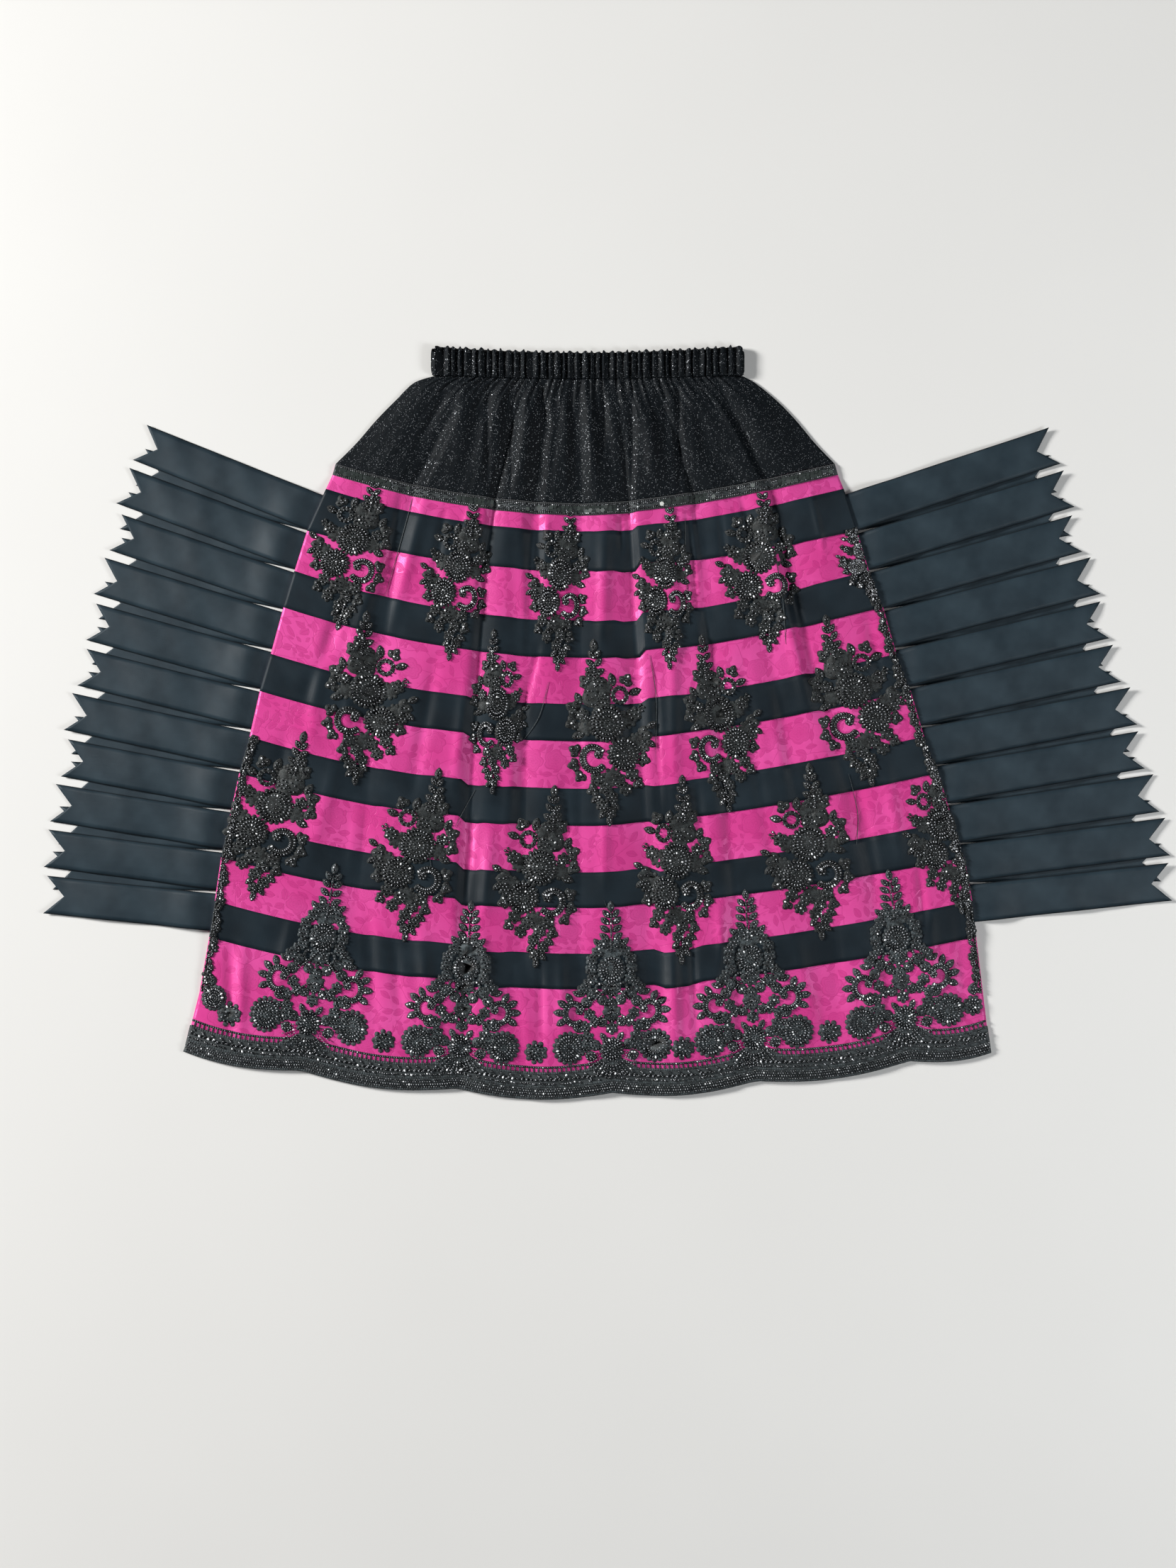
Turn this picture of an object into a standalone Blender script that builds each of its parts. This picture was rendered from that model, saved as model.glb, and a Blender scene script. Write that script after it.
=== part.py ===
"""A ribbon skirt laid flat, front side up, with its ribbon ends fanned out from both side seams.

Metres, +Z up. Z = 0 is the surface that the skirt lies on, +Y points to the waist and X runs across the skirt.
X = 0 is the line down the middle of the front, and Y = 0 is half way down its length.
The back panels are flat on the surface. The front panels lie over them in soft folds, and what is sewn on the
front is made from the front's own points, moved up. The ribbon ends come out between front and back.
"""

import math
from collections import namedtuple

import bmesh
import bpy
from mathutils import Vector

# Thickness of each cloth, and the clearance between pieces that touch
GAP = 0.0003
BACK_WALL = 0.0010
FRONT_WALL = 0.0016
RIBBON_WALL = 0.0010
TRIM_WALL = 0.0020
LACE_WALL = 0.0014

# Levels of the layers above the surface
BACK_TOP = BACK_WALL
FRONT_REST = BACK_TOP + GAP
LOWER_TAIL_ROOT = BACK_TOP + GAP
UPPER_TAIL_ROOT = LOWER_TAIL_ROOT + RIBBON_WALL + GAP
UPPER_TAIL_REST = RIBBON_WALL + GAP
SIDE_LIFT = UPPER_TAIL_ROOT + RIBBON_WALL + GAP - FRONT_REST
ON_SATIN = FRONT_WALL + GAP
ON_RIBBON = ON_SATIN + RIBBON_WALL + GAP

# A row is a line across the skirt: where it crosses the middle, where it meets the side edges, how far it
# reaches left and right, how full the folds are on it and how far the front's side edge is lifted there.
Row = namedtuple("Row", "name middle_y side_y left right fullness side_lift")
SKIRT_ROWS = [
    Row("yoke_seam", 0.282, 0.333, 0.320, 0.313, 1.0, 0.0),
    Row("trim_foot", 0.267, 0.319, 0.324, 0.317, 1.0, 0.0),
    Row("ribbon_1_top", 0.247, 0.301, 0.332, 0.324, 1.0, SIDE_LIFT),
    Row("ribbon_1_foot", 0.197, 0.248, 0.356, 0.341, 1.0, SIDE_LIFT),
    Row("ribbon_2_top", 0.134, 0.197, 0.372, 0.356, 1.0, SIDE_LIFT),
    Row("ribbon_2_foot", 0.087, 0.151, 0.386, 0.374, 1.0, SIDE_LIFT),
    Row("ribbon_3_top", 0.028, 0.092, 0.402, 0.391, 1.0, SIDE_LIFT),
    Row("ribbon_3_foot", -0.019, 0.045, 0.416, 0.409, 1.0, SIDE_LIFT),
    Row("ribbon_4_top", -0.079, -0.013, 0.429, 0.426, 1.0, SIDE_LIFT),
    Row("ribbon_4_foot", -0.126, -0.059, 0.442, 0.444, 1.0, SIDE_LIFT),
    Row("ribbon_5_top", -0.185, -0.119, 0.455, 0.462, 1.0, SIDE_LIFT),
    Row("ribbon_5_foot", -0.230, -0.166, 0.465, 0.477, 1.0, SIDE_LIFT),
    Row("ribbon_6_top", -0.288, -0.221, 0.473, 0.487, 1.0, SIDE_LIFT),
    Row("ribbon_6_foot", -0.333, -0.267, 0.480, 0.492, 1.0, SIDE_LIFT),
    Row("lace_head", -0.391, -0.338, 0.493, 0.501, 1.0, 0.0),
    Row("satin_hem", -0.453, -0.397, 0.508, 0.508, 0.8, 0.0),
    Row("lace_hem", -0.474, -0.417, 0.514, 0.512, 0.4, 0.0),
]
YOKE_ROWS = [
    Row("waist_seam", 0.4398, 0.4443, 0.196, 0.196, 0.0, 0.0),
    Row("shoulder", 0.4185, 0.4356, 0.221, 0.212, 0.0, 0.0),
    Row("upper_hip", 0.3915, 0.4140, 0.2435, 0.2385, 0.0, 0.0),
    Row("hip", 0.3610, 0.3890, 0.268, 0.263, 0.0, 0.0),
    Row("lower_hip", 0.3210, 0.3590, 0.294, 0.288, 0.0, 0.0),
    Row("yoke_seam", 0.282, 0.333, 0.320, 0.313, 0.0, 0.0),
]
BACK_ROWS = ["yoke_seam", "ribbon_1_foot", "ribbon_3_top", "ribbon_4_foot", "ribbon_6_top", "satin_hem"]
BACK_COLUMNS = 10
LEFT_CURVE = 2.0
RIGHT_CURVE = 1.5
RIBBON_COUNT = 6

# A fold line runs from the yoke seam to the hem. Its place is a share of the half width, its rise is the
# height of the cloth there, and its slip is how far it draws the rows up or down near the seam and near the hem.
Fold = namedtuple("Fold", "seam hem seam_rise hem_rise seam_slip hem_slip")
FOLDS = [
    Fold(-1.000, -1.000, 0.0000, 0.0000, 0.0, 0.0),
    Fold(-0.930, -0.935, 0.0040, 0.0038, 0.0, 0.0),
    Fold(-0.780, -0.800, 0.0062, 0.0056, -0.0005, 0.0),
    Fold(-0.690, -0.600, 0.0012, 0.0016, 0.0005, 0.0),
    Fold(-0.620, -0.520, 0.0062, 0.0052, 0.0, 0.0015),
    Fold(-0.410, -0.355, 0.0086, 0.0060, 0.0, 0.0040),
    Fold(-0.372, -0.315, 0.0010, 0.0014, 0.0, -0.0040),
    Fold(-0.300, -0.260, 0.0072, 0.0055, 0.0, -0.0020),
    Fold(-0.215, -0.160, 0.0014, 0.0008, -0.0010, 0.0),
    Fold(-0.150, -0.100, 0.0066, 0.0058, 0.0, 0.0),
    Fold(-0.030, -0.020, 0.0024, 0.0030, 0.0, 0.0),
    Fold(0.060, 0.050, 0.0080, 0.0062, -0.0015, 0.0),
    Fold(0.165, 0.155, 0.0010, 0.0012, -0.0045, 0.0010),
    Fold(0.202, 0.215, 0.0084, 0.0050, 0.0045, -0.0045),
    Fold(0.385, 0.335, 0.0080, 0.0056, 0.0010, 0.0),
    Fold(0.422, 0.375, 0.0010, 0.0016, 0.0, 0.0),
    Fold(0.520, 0.500, 0.0064, 0.0052, 0.0, 0.0),
    Fold(0.610, 0.600, 0.0030, 0.0016, 0.0, 0.0),
    Fold(0.685, 0.715, 0.0084, 0.0056, 0.0010, 0.0),
    Fold(0.722, 0.765, 0.0012, 0.0024, -0.0010, 0.0),
    Fold(0.840, 0.870, 0.0060, 0.0050, 0.0, 0.0),
    Fold(0.935, 0.940, 0.0040, 0.0038, 0.0, 0.0),
    Fold(1.000, 1.000, 0.0000, 0.0000, 0.0, 0.0),
]
WIDE_FOLD = 0.118
ROUNDING_SHARES = (0.3, 0.7)
# Down the skirt, from 0 to 1: where the slip near the seam is full, and where it turns into that near the hem
SLIP_FULL = 0.10
SLIP_TURNS = (0.2, 0.6)
SIDE_STRIP = 0.9

# The yoke: gathers from the elastic die out on its way down, and a few large folds grow out of them.
YokeFold = namedtuple("YokeFold", "waist seam rise half_width")
YOKE_FOLDS = [
    YokeFold(-0.90, -0.86, 0.0030, 0.070),
    YokeFold(-0.74, -0.58, 0.0052, 0.080),
    YokeFold(-0.50, -0.44, 0.0048, 0.045),
    YokeFold(-0.33, -0.27, 0.0056, 0.055),
    YokeFold(-0.14, -0.10, 0.0048, 0.045),
    YokeFold(0.00, 0.04, 0.0052, 0.040),
    YokeFold(0.12, 0.15, 0.0040, 0.028),
    YokeFold(0.26, 0.28, 0.0058, 0.060),
    YokeFold(0.46, 0.48, 0.0044, 0.050),
    YokeFold(0.60, 0.62, 0.0036, 0.045),
    YokeFold(0.84, 0.80, 0.0052, 0.070),
]
GATHER_COUNT = 42
GATHER_REACH = 0.95
GATHER_RISES = [0.0012, 0.0013, 0.0010, 0.0005, 0.0002, 0.0]
FOLD_SHARES = [0.0, 0.45, 1.0, 1.0, 0.7, 0.0]
WAIST_RISE = 0.0042
SIDE_ROUNDING = 10

# The waistband: a gathered casing over elastic, one ring pressed flat
BAND_HALF_WIDTH = 0.198
BAND_HEIGHT_MIDDLE = 0.0342
BAND_HEIGHT_SIDE = 0.0378
BAND_DEPTH = 0.0092
BAND_SLOT_LOW = 0.0040
BAND_SLOT_HIGH = 0.0046
BAND_GATHER = 0.0009
BAND_RIPPLE = 0.0007
BAND_END_STEPS = 5
BAND_BACK_STEPS = 6
# A line round the casing's outside, from foot to top: its share of the height and how far it sinks in
BandLine = namedtuple("BandLine", "share sink")
BAND_LINES = [
    BandLine(0.0, 0.0018),
    BandLine(0.14, 0.0),
    BandLine(0.88, 0.0),
    BandLine(1.0, 0.0018),
]

# The ribbon ends: an upper row and, between them, a lower row on a tape inside the side seam
TAIL_COUNT = 11
TAIL_WIDTH = 0.048
TAIL_NOTCH = 0.024
NOTCH_ROUND = 0.0024
TAIL_SHOULDER = 0.012
TAIL_BOW = 0.0010
TAIL_TUCK = 0.006
TAPE_TUCK = 0.002
TAPE_WIDTH = 0.008
LENGTH_SPREAD = 0.004
LENGTH_STEP = 2.4
LOWER_TAIL_TURN = math.radians(7.2)
LOWER_TAIL_SHORT = 0.008
# Distances from the root where a ribbon is bent, and the level of its underside at each, end included
UPPER_TAIL_STATIONS = [0.0, 0.012, 0.034, 0.075, 0.135]
LOWER_TAIL_STATIONS = [0.0, 0.012, 0.040]
LOWER_TAIL_LEVELS = [LOWER_TAIL_ROOT, LOWER_TAIL_ROOT, 0.0, 0.0, 0.0]
# The arch near the root, the wave further out and the curl of the end differ from ribbon to ribbon
Bend = namedtuple("Bend", "mean spread step")
ARCH = Bend(0.0030, 0.0016, 1.9)
WAVE = Bend(0.0012, 0.0008, 2.7)
CURL = Bend(0.0013, 0.0012, 1.3)
TailFan = namedtuple("TailFan", "side top_y foot_y first_angle last_angle first_length last_length")
TAIL_FANS = [
    TailFan("left", 0.2950, -0.2615, 21.8, 6.0, 0.240, 0.218),
    TailFan("right", 0.2960, -0.2500, 18.2, 6.2, 0.272, 0.256),
]

# Lace sprays on the front: where the middle is, and their size against the drawn one
Spray = namedtuple("Spray", "x y size_x size_y mirrored")
SPRAYS = [
    Spray(-0.300, 0.221, 0.98, 0.92, False),
    Spray(-0.166, 0.186, 0.82, 0.95, False),
    Spray(-0.036, 0.176, 0.74, 0.98, True),
    Spray(0.098, 0.178, 0.70, 0.98, False),
    Spray(0.218, 0.198, 0.96, 0.96, False),
    Spray(0.350, 0.214, 0.62, 0.52, True),
    Spray(-0.279, 0.036, 1.10, 1.02, True),
    Spray(-0.115, 0.020, 0.68, 0.98, False),
    Spray(0.025, -0.006, 1.06, 1.10, False),
    Spray(0.168, 0.006, 0.90, 1.06, True),
    Spray(0.338, 0.036, 1.10, 1.04, False),
    Spray(-0.400, -0.110, 1.12, 1.04, False),
    Spray(-0.218, -0.160, 1.06, 1.04, True),
    Spray(-0.062, -0.188, 1.02, 1.08, False),
    Spray(0.112, -0.180, 0.92, 1.12, True),
    Spray(0.280, -0.158, 1.06, 1.04, True),
    Spray(0.448, -0.132, 0.86, 1.00, True),
]
FLARE = math.radians(14.5)
FLARE_REACH = 0.45
# Outline of a spray, from its top sprig down: how far it reaches left and right of its middle line
Reach = namedtuple("Reach", "y left right")
SPRAY_OUTLINE = [
    Reach(0.098, -0.006, 0.009),
    Reach(0.084, -0.011, 0.006),
    Reach(0.070, -0.008, 0.011),
    Reach(0.060, -0.030, 0.026),
    Reach(0.048, -0.024, 0.042),
    Reach(0.034, -0.044, 0.032),
    Reach(0.018, -0.036, 0.047),
    Reach(0.004, -0.034, 0.038),
    Reach(-0.012, -0.049, 0.045),
    Reach(-0.028, -0.040, 0.030),
    Reach(-0.042, -0.024, 0.037),
    Reach(-0.058, -0.022, 0.022),
    Reach(-0.072, -0.008, 0.027),
    Reach(-0.088, -0.003, 0.016),
]
SPRAY_TIP = 0.112
SPRAY_FOOT = (0.012, -0.104)
# The open eye of the scroll in a spray
SPRAY_EYE = (0.018, -0.004, 0.0055)

# The lace border at the front hem: trees, and medallions between them, over a scalloped band.
# Each tree has its place along the hem and its height against the drawn one.
Tree = namedtuple("Tree", "along size_y")
TREES = [Tree(-0.349, 1.08), Tree(-0.167, 0.98), Tree(0.031, 1.0), Tree(0.214, 1.0), Tree(0.409, 1.0)]
BORDER_HEIGHT = 0.058
SCALLOP_DEPTH = 0.009
SCALLOP_STEPS = 5
# Right half of a tree, from its tip down: sideways reach and height above the hem
Lobe = namedtuple("Lobe", "reach height")
TREE_OUTLINE = [
    Lobe(0.007, 0.226),
    Lobe(0.006, 0.204),
    Lobe(0.021, 0.188),
    Lobe(0.024, 0.158),
    Lobe(0.040, 0.146),
    Lobe(0.046, 0.130),
    Lobe(0.068, 0.116),
    Lobe(0.064, 0.096),
    Lobe(0.040, 0.090),
    Lobe(0.029, 0.074),
]
TREE_HEIGHT = 0.250
MEDALLION = [Lobe(0.038, 0.060), Lobe(0.044, 0.080), Lobe(0.060, 0.085), Lobe(0.072, 0.072)]
MEDALLION_FOOT = Lobe(0.075, 0.056)
BLOOM_REACH = 0.007
BLOOM_HEIGHT = 0.070
# Openings in the lace of a tree: sideways place, height above the hem, half width
Eye = namedtuple("Eye", "reach height half_width")
TREE_EYES = [Eye(0.047, 0.108, 0.0060), Eye(0.015, 0.122, 0.0045), Eye(0.021, 0.086, 0.0045)]
EYE_SIDES = 5
EYE_STRETCH = 1.3
BORDER_OVERSIZE = 0.03
CUTTER_HEIGHT = 0.05

COLOURS = {
    # name: (red, green, blue, roughness)
    "pink_satin": (0.72, 0.035, 0.30, 0.38),
    "black_satin": (0.030, 0.042, 0.050, 0.36),
    "slate_satin": (0.060, 0.090, 0.110, 0.34),
    "glitter_knit": (0.022, 0.025, 0.030, 0.62),
    "black_lace": (0.012, 0.014, 0.015, 0.45),
    "sequin_trim": (0.018, 0.020, 0.022, 0.30),
}


def clear_scene():
    for thing in list(bpy.data.objects):
        bpy.data.objects.remove(thing)


def new_collection(name):
    made = bpy.data.collections.new(name)
    bpy.context.scene.collection.children.link(made)
    return made


def make_materials():
    made = {}
    for name, (red, green, blue, roughness) in COLOURS.items():
        material = bpy.data.materials.new(name)
        material.use_nodes = True
        shader = material.node_tree.nodes["Principled BSDF"]
        shader.inputs["Base Color"].default_value = (red, green, blue, 1.0)
        shader.inputs["Roughness"].default_value = roughness
        shader.inputs["Metallic"].default_value = 0.0
        made[name] = material
    return made


def mix(a, b, share):
    return a + (b - a) * share


def eased(share):
    share = min(max(share, 0.0), 1.0)
    return share * share * (3 - 2 * share)


def finish_piece(name, bm, material, collection):
    """Closes up a bmesh as one named object with outward faces."""
    bmesh.ops.recalc_face_normals(bm, faces=bm.faces[:])
    mesh = bpy.data.meshes.new(name)
    bm.to_mesh(mesh)
    bm.free()
    mesh.shade_smooth()
    mesh.set_sharp_from_angle(angle=math.radians(50))
    mesh.materials.append(material)
    piece = bpy.data.objects.new(name, mesh)
    collection.objects.link(piece)
    return piece


def grid_of(points):
    """An open sheet through a table of points, row by row, split into triangles."""
    bm = bmesh.new()
    bmesh.ops.create_grid(bm, x_segments=len(points[0]) - 1, y_segments=len(points) - 1, size=1.0)
    in_order = sorted(bm.verts, key=lambda v: (round(v.co.y, 5), round(v.co.x, 5)))
    flat = [point for row in points for point in row]
    for vert, point in zip(in_order, flat):
        vert.co = point
    bmesh.ops.triangulate(bm, faces=bm.faces[:], quad_method="FIXED")
    return bm


def thicken(bm, thickness):
    """Gives an open sheet its wall by drawing it straight up."""
    grown = bmesh.ops.extrude_face_region(bm, geom=bm.faces[:])
    raised = [item for item in grown["geom"] if isinstance(item, bmesh.types.BMVert)]
    bmesh.ops.translate(bm, verts=raised, vec=(0, 0, thickness))
    return bm


def lifted(points, height):
    return [[point + Vector((0, 0, height)) for point in row] for row in points]


def cloth(name, points, thickness, material, collection):
    return finish_piece(name, thicken(grid_of(points), thickness), material, collection)


def row_named(name):
    return next(row for row in SKIRT_ROWS if row.name == name)


def place_on_row(row, u):
    """The point of a row at u, from -1 at the left edge to 1 at the right edge."""
    reach, curve = (row.right, RIGHT_CURVE) if u > 0 else (row.left, LEFT_CURVE)
    return u * reach, mix(row.middle_y, row.side_y, abs(u) ** curve)


def down_of(row):
    """How far down the skirt a row is, from 0 at the yoke seam to 1 at the hem."""
    top, foot = SKIRT_ROWS[0].middle_y, SKIRT_ROWS[-1].middle_y
    return (top - row.middle_y) / (top - foot)


def fold_stations(down):
    """Place, rise and slip of each fold line at that distance down, with two more in each wide gap."""
    slip_share = eased(down / SLIP_FULL)
    turn = eased((down - SLIP_TURNS[0]) / (SLIP_TURNS[1] - SLIP_TURNS[0]))
    lines = []
    for fold in FOLDS:
        slip = slip_share * mix(fold.seam_slip, fold.hem_slip, turn)
        lines.append((mix(fold.seam, fold.hem, down), mix(fold.seam_rise, fold.hem_rise, down), slip))
    stations = [lines[0]]
    for index in range(1, len(lines)):
        near, far = lines[index - 1], lines[index]
        if FOLDS[index].seam - FOLDS[index - 1].seam > WIDE_FOLD:
            for share in ROUNDING_SHARES:
                round_share = eased(share)
                stations.append((mix(near[0], far[0], share), mix(near[1], far[1], round_share),
                                 mix(near[2], far[2], round_share)))
        stations.append(lines[index])
    return stations


def front_row(row):
    """The underside of the front panel along a row."""
    points = []
    for u, rise, slip in fold_stations(down_of(row)):
        x, y = place_on_row(row, u)
        lift = row.side_lift if abs(u) > SIDE_STRIP else 0.0
        height = max(rise * row.fullness, lift)
        points.append(Vector((x, y + slip, FRONT_REST + height)))
    return points


def front_points():
    return {row.name: front_row(row) for row in SKIRT_ROWS}


def flat_points(rows):
    points = []
    for row in rows:
        spots = [place_on_row(row, 2 * index / BACK_COLUMNS - 1) for index in range(BACK_COLUMNS + 1)]
        points.append([Vector((x, y, 0.0)) for x, y in spots])
    return points


def gather_places():
    """Crests and hollows of the elastic's gathers, as shares of the half width, unevenly spaced."""
    steps = 2 * GATHER_COUNT
    places = []
    for index in range(steps + 1):
        wander = 0.32 * math.sin(1.7 * index) + 0.22 * math.sin(0.61 * index + 1.0)
        even = index + (wander if 0 < index < steps else 0.0)
        places.append(GATHER_REACH * (2 * even / steps - 1))
    return places


def seam_height(u):
    """Rise of the cloth at the yoke seam, straight between the satin's own fold lines."""
    stations = fold_stations(0.0)
    for (left, left_rise, _), (right, right_rise, _) in zip(stations, stations[1:]):
        if left <= u <= right:
            return mix(left_rise, right_rise, (u - left) / (right - left))
    return 0.0


def yoke_rise(row_index, u, is_crest):
    share = row_index / (len(YOKE_ROWS) - 1)
    body = mix(WAIST_RISE, seam_height(u), eased(share))
    gather = GATHER_RISES[row_index] * (1 if is_crest else -1)
    folds = 0.0
    for fold in YOKE_FOLDS:
        away = (u - mix(fold.waist, fold.seam, share)) / fold.half_width
        folds += fold.rise * math.exp(-away * away)
    rise = body + gather + folds * FOLD_SHARES[row_index]
    return max(rise, 0.0) * (1 - abs(u) ** SIDE_ROUNDING)


def yoke_front_points():
    places = [-1.0] + gather_places() + [1.0]
    points = []
    for row_index, row in enumerate(YOKE_ROWS):
        line = []
        for index, u in enumerate(places):
            x, y = place_on_row(row, u)
            rise = yoke_rise(row_index, u, index % 2 == 0)
            line.append(Vector((x, y, FRONT_REST + rise)))
        points.append(line)
    for point in points[-1]:
        point.y += 2 * GAP
    return points


def band_edges(x):
    """Where the casing's foot and top are at x; the foot follows the yoke's waist seam."""
    u = max(-1.0, min(1.0, x / BAND_HALF_WIDTH))
    foot = place_on_row(YOKE_ROWS[0], u)[1] + GAP
    return foot, foot + mix(BAND_HEIGHT_MIDDLE, BAND_HEIGHT_SIDE, u * u)


def band_stations():
    """Round the pressed ring: x, the outer and the inner height, and the outward direction in X and Z."""
    radius = BAND_DEPTH / 2
    slot_middle = (BAND_SLOT_LOW + BAND_SLOT_HIGH) / 2
    slot_radius = (BAND_SLOT_HIGH - BAND_SLOT_LOW) / 2
    straight = BAND_HALF_WIDTH - radius
    stations = []
    for index, u in enumerate(gather_places()):
        crest = BAND_GATHER if index % 2 else -BAND_GATHER
        ripple = BAND_RIPPLE if index % 2 else -BAND_RIPPLE
        x = straight * u / GATHER_REACH
        stations.append((x, BAND_DEPTH + crest, x, BAND_SLOT_HIGH, (0, 1), ripple))
    for step in range(1, BAND_END_STEPS):
        angle = math.pi * (0.5 - step / BAND_END_STEPS)
        out = (math.cos(angle), math.sin(angle))
        stations.append((straight + radius * out[0], radius + radius * out[1],
                         straight + slot_radius * out[0], slot_middle + slot_radius * out[1], out, 0.0))
    for step in range(BAND_BACK_STEPS + 1):
        x = straight * (1 - 2 * step / BAND_BACK_STEPS)
        stations.append((x, 0.0, x, BAND_SLOT_LOW, (0, -1), 0.0))
    for step in range(1, BAND_END_STEPS):
        angle = -math.pi * (0.5 + step / BAND_END_STEPS)
        out = (math.cos(angle), math.sin(angle))
        stations.append((-straight + radius * out[0], radius + radius * out[1],
                         -straight + slot_radius * out[0], slot_middle + slot_radius * out[1], out, 0.0))
    return stations


def make_waistband(material, collection):
    loops = []
    for outer_x, outer_z, inner_x, inner_z, out, ripple in band_stations():
        foot, top = band_edges(outer_x)
        loop = []
        for line in BAND_LINES:
            y = mix(foot, top, line.share) + ripple * line.share
            loop.append(Vector((outer_x - line.sink * out[0], y, outer_z - line.sink * out[1])))
        loop.append(Vector((inner_x, top, inner_z)))
        loop.append(Vector((inner_x, foot, inner_z)))
        loops.append(loop + [loop[0].copy()])
    loops.append([point.copy() for point in loops[0]])
    bm = grid_of(loops)
    bmesh.ops.remove_doubles(bm, verts=bm.verts[:], dist=0.00001)
    return finish_piece("waistband", bm, material, collection)


def side_edge(fan):
    """The side seam between a fan's first and last ribbon, from the waist end down."""
    sign = -1 if fan.side == "left" else 1
    edge = [Vector((place_on_row(row, sign)[0], row.side_y)) for row in SKIRT_ROWS]
    line = []
    for above, below in zip(edge, edge[1:]):
        for y in (fan.top_y, fan.foot_y):
            if below.y <= y < above.y:
                line.append(above.lerp(below, (above.y - y) / (above.y - below.y)))
        if fan.foot_y < below.y < fan.top_y:
            line.append(below)
    return sorted(line, key=lambda point: -point.y)


def point_along(line, distance):
    for start, end in zip(line, line[1:]):
        step = (end - start).length
        if distance <= step:
            return start.lerp(end, distance / step)
        distance -= step
    return line[-1].copy()


def fan_ribbons(fan):
    """Root on the side seam, direction and length of each ribbon of a fan."""
    line = side_edge(fan)
    length = sum((b - a).length for a, b in zip(line, line[1:]))
    sign = -1 if fan.side == "left" else 1
    ribbons = []
    for index in range(TAIL_COUNT):
        share = index / (TAIL_COUNT - 1)
        root = point_along(line, length * (index + 0.5) / TAIL_COUNT)
        angle = math.radians(mix(fan.first_angle, fan.last_angle, share))
        reach = mix(fan.first_length, fan.last_length, share) + LENGTH_SPREAD * math.sin(LENGTH_STEP * index)
        ribbons.append((root, Vector((sign * math.cos(angle), math.sin(angle))), reach))
    return ribbons


def turned(direction, angle):
    c, s = math.cos(angle), math.sin(angle)
    return Vector((direction.x * c - direction.y * s, direction.x * s + direction.y * c))


def tail_rows(start, heading, reach, stations):
    """Rows of three points across a ribbon in the plane, from its root to its notched end."""
    side = turned(heading, math.pi / 2) * (TAIL_WIDTH / 2)
    spots = [start + heading * distance for distance in stations + [reach - TAIL_NOTCH, reach]]
    rows = [[spot - side, spot, spot + side] for spot in spots]
    rows[-1][1] = start + heading * (reach - TAIL_NOTCH + NOTCH_ROUND)
    rows[-2][1] = start + heading * (reach - TAIL_NOTCH - TAIL_SHOULDER)
    return rows


def raised(rows, levels):
    return [[Vector((p.x, p.y, level)) for p in row] for row, level in zip(rows, levels)]


def bend(kind, index):
    return kind.mean + kind.spread * math.sin(kind.step * index)


def make_upper_tail(fan, index, ribbon, material, collection):
    """A ribbon that leaves the seam level, arches a little and settles on the row below it."""
    root, heading, length = ribbon
    flat = tail_rows(root - heading * TAIL_TUCK, heading, length + TAIL_TUCK, UPPER_TAIL_STATIONS)
    levels = [UPPER_TAIL_ROOT, UPPER_TAIL_ROOT, UPPER_TAIL_ROOT + bend(ARCH, index), UPPER_TAIL_REST,
              UPPER_TAIL_REST + bend(WAVE, index), UPPER_TAIL_REST, UPPER_TAIL_REST + bend(CURL, index)]
    rows = raised(flat, levels)
    for row in rows[2:-1]:
        row[1].z += TAIL_BOW
    rows[-1][1].z = UPPER_TAIL_REST
    cloth(f"ribbon_end_{fan.side}_{index + 1:02d}", rows, RIBBON_WALL, material, collection)


def make_lower_tails(fan, ribbons, material, collection):
    """The lower row of ribbon ends, sewn side by side to one tape inside the seam."""
    sign = -1 if fan.side == "left" else 1
    edge = side_edge(fan)
    seam = (edge[-1] - edge[0]).normalized()
    inward = turned(seam, -sign * math.pi / 2)
    half_root = seam * (TAIL_WIDTH / 2)
    sheets = []
    tape = []
    for root, direction, length in ribbons[:-1]:
        start = root + inward * TAPE_TUCK
        flat = tail_rows(start, turned(direction, -sign * LOWER_TAIL_TURN), length - LOWER_TAIL_SHORT,
                         LOWER_TAIL_STATIONS)
        flat[0] = [start + half_root * sign * share for share in (1, 0, -1)]
        sheets.append(raised(flat, LOWER_TAIL_LEVELS))
        tape += sheets[-1][0][::-sign]
    behind = (inward * TAPE_WIDTH).to_3d()
    sheets.append([[point + behind for point in tape], tape])
    bm = bmesh.new()
    for sheet in sheets:
        part = grid_of(sheet)
        mesh = bpy.data.meshes.new("sheet")
        part.to_mesh(mesh)
        part.free()
        bm.from_mesh(mesh)
        bpy.data.meshes.remove(mesh)
    bmesh.ops.remove_doubles(bm, verts=bm.verts[:], dist=0.00001)
    bmesh.ops.recalc_face_normals(bm, faces=bm.faces[:])
    finish_piece(f"under_ribbons_{fan.side}", thicken(bm, RIBBON_WALL), material, collection)


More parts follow.
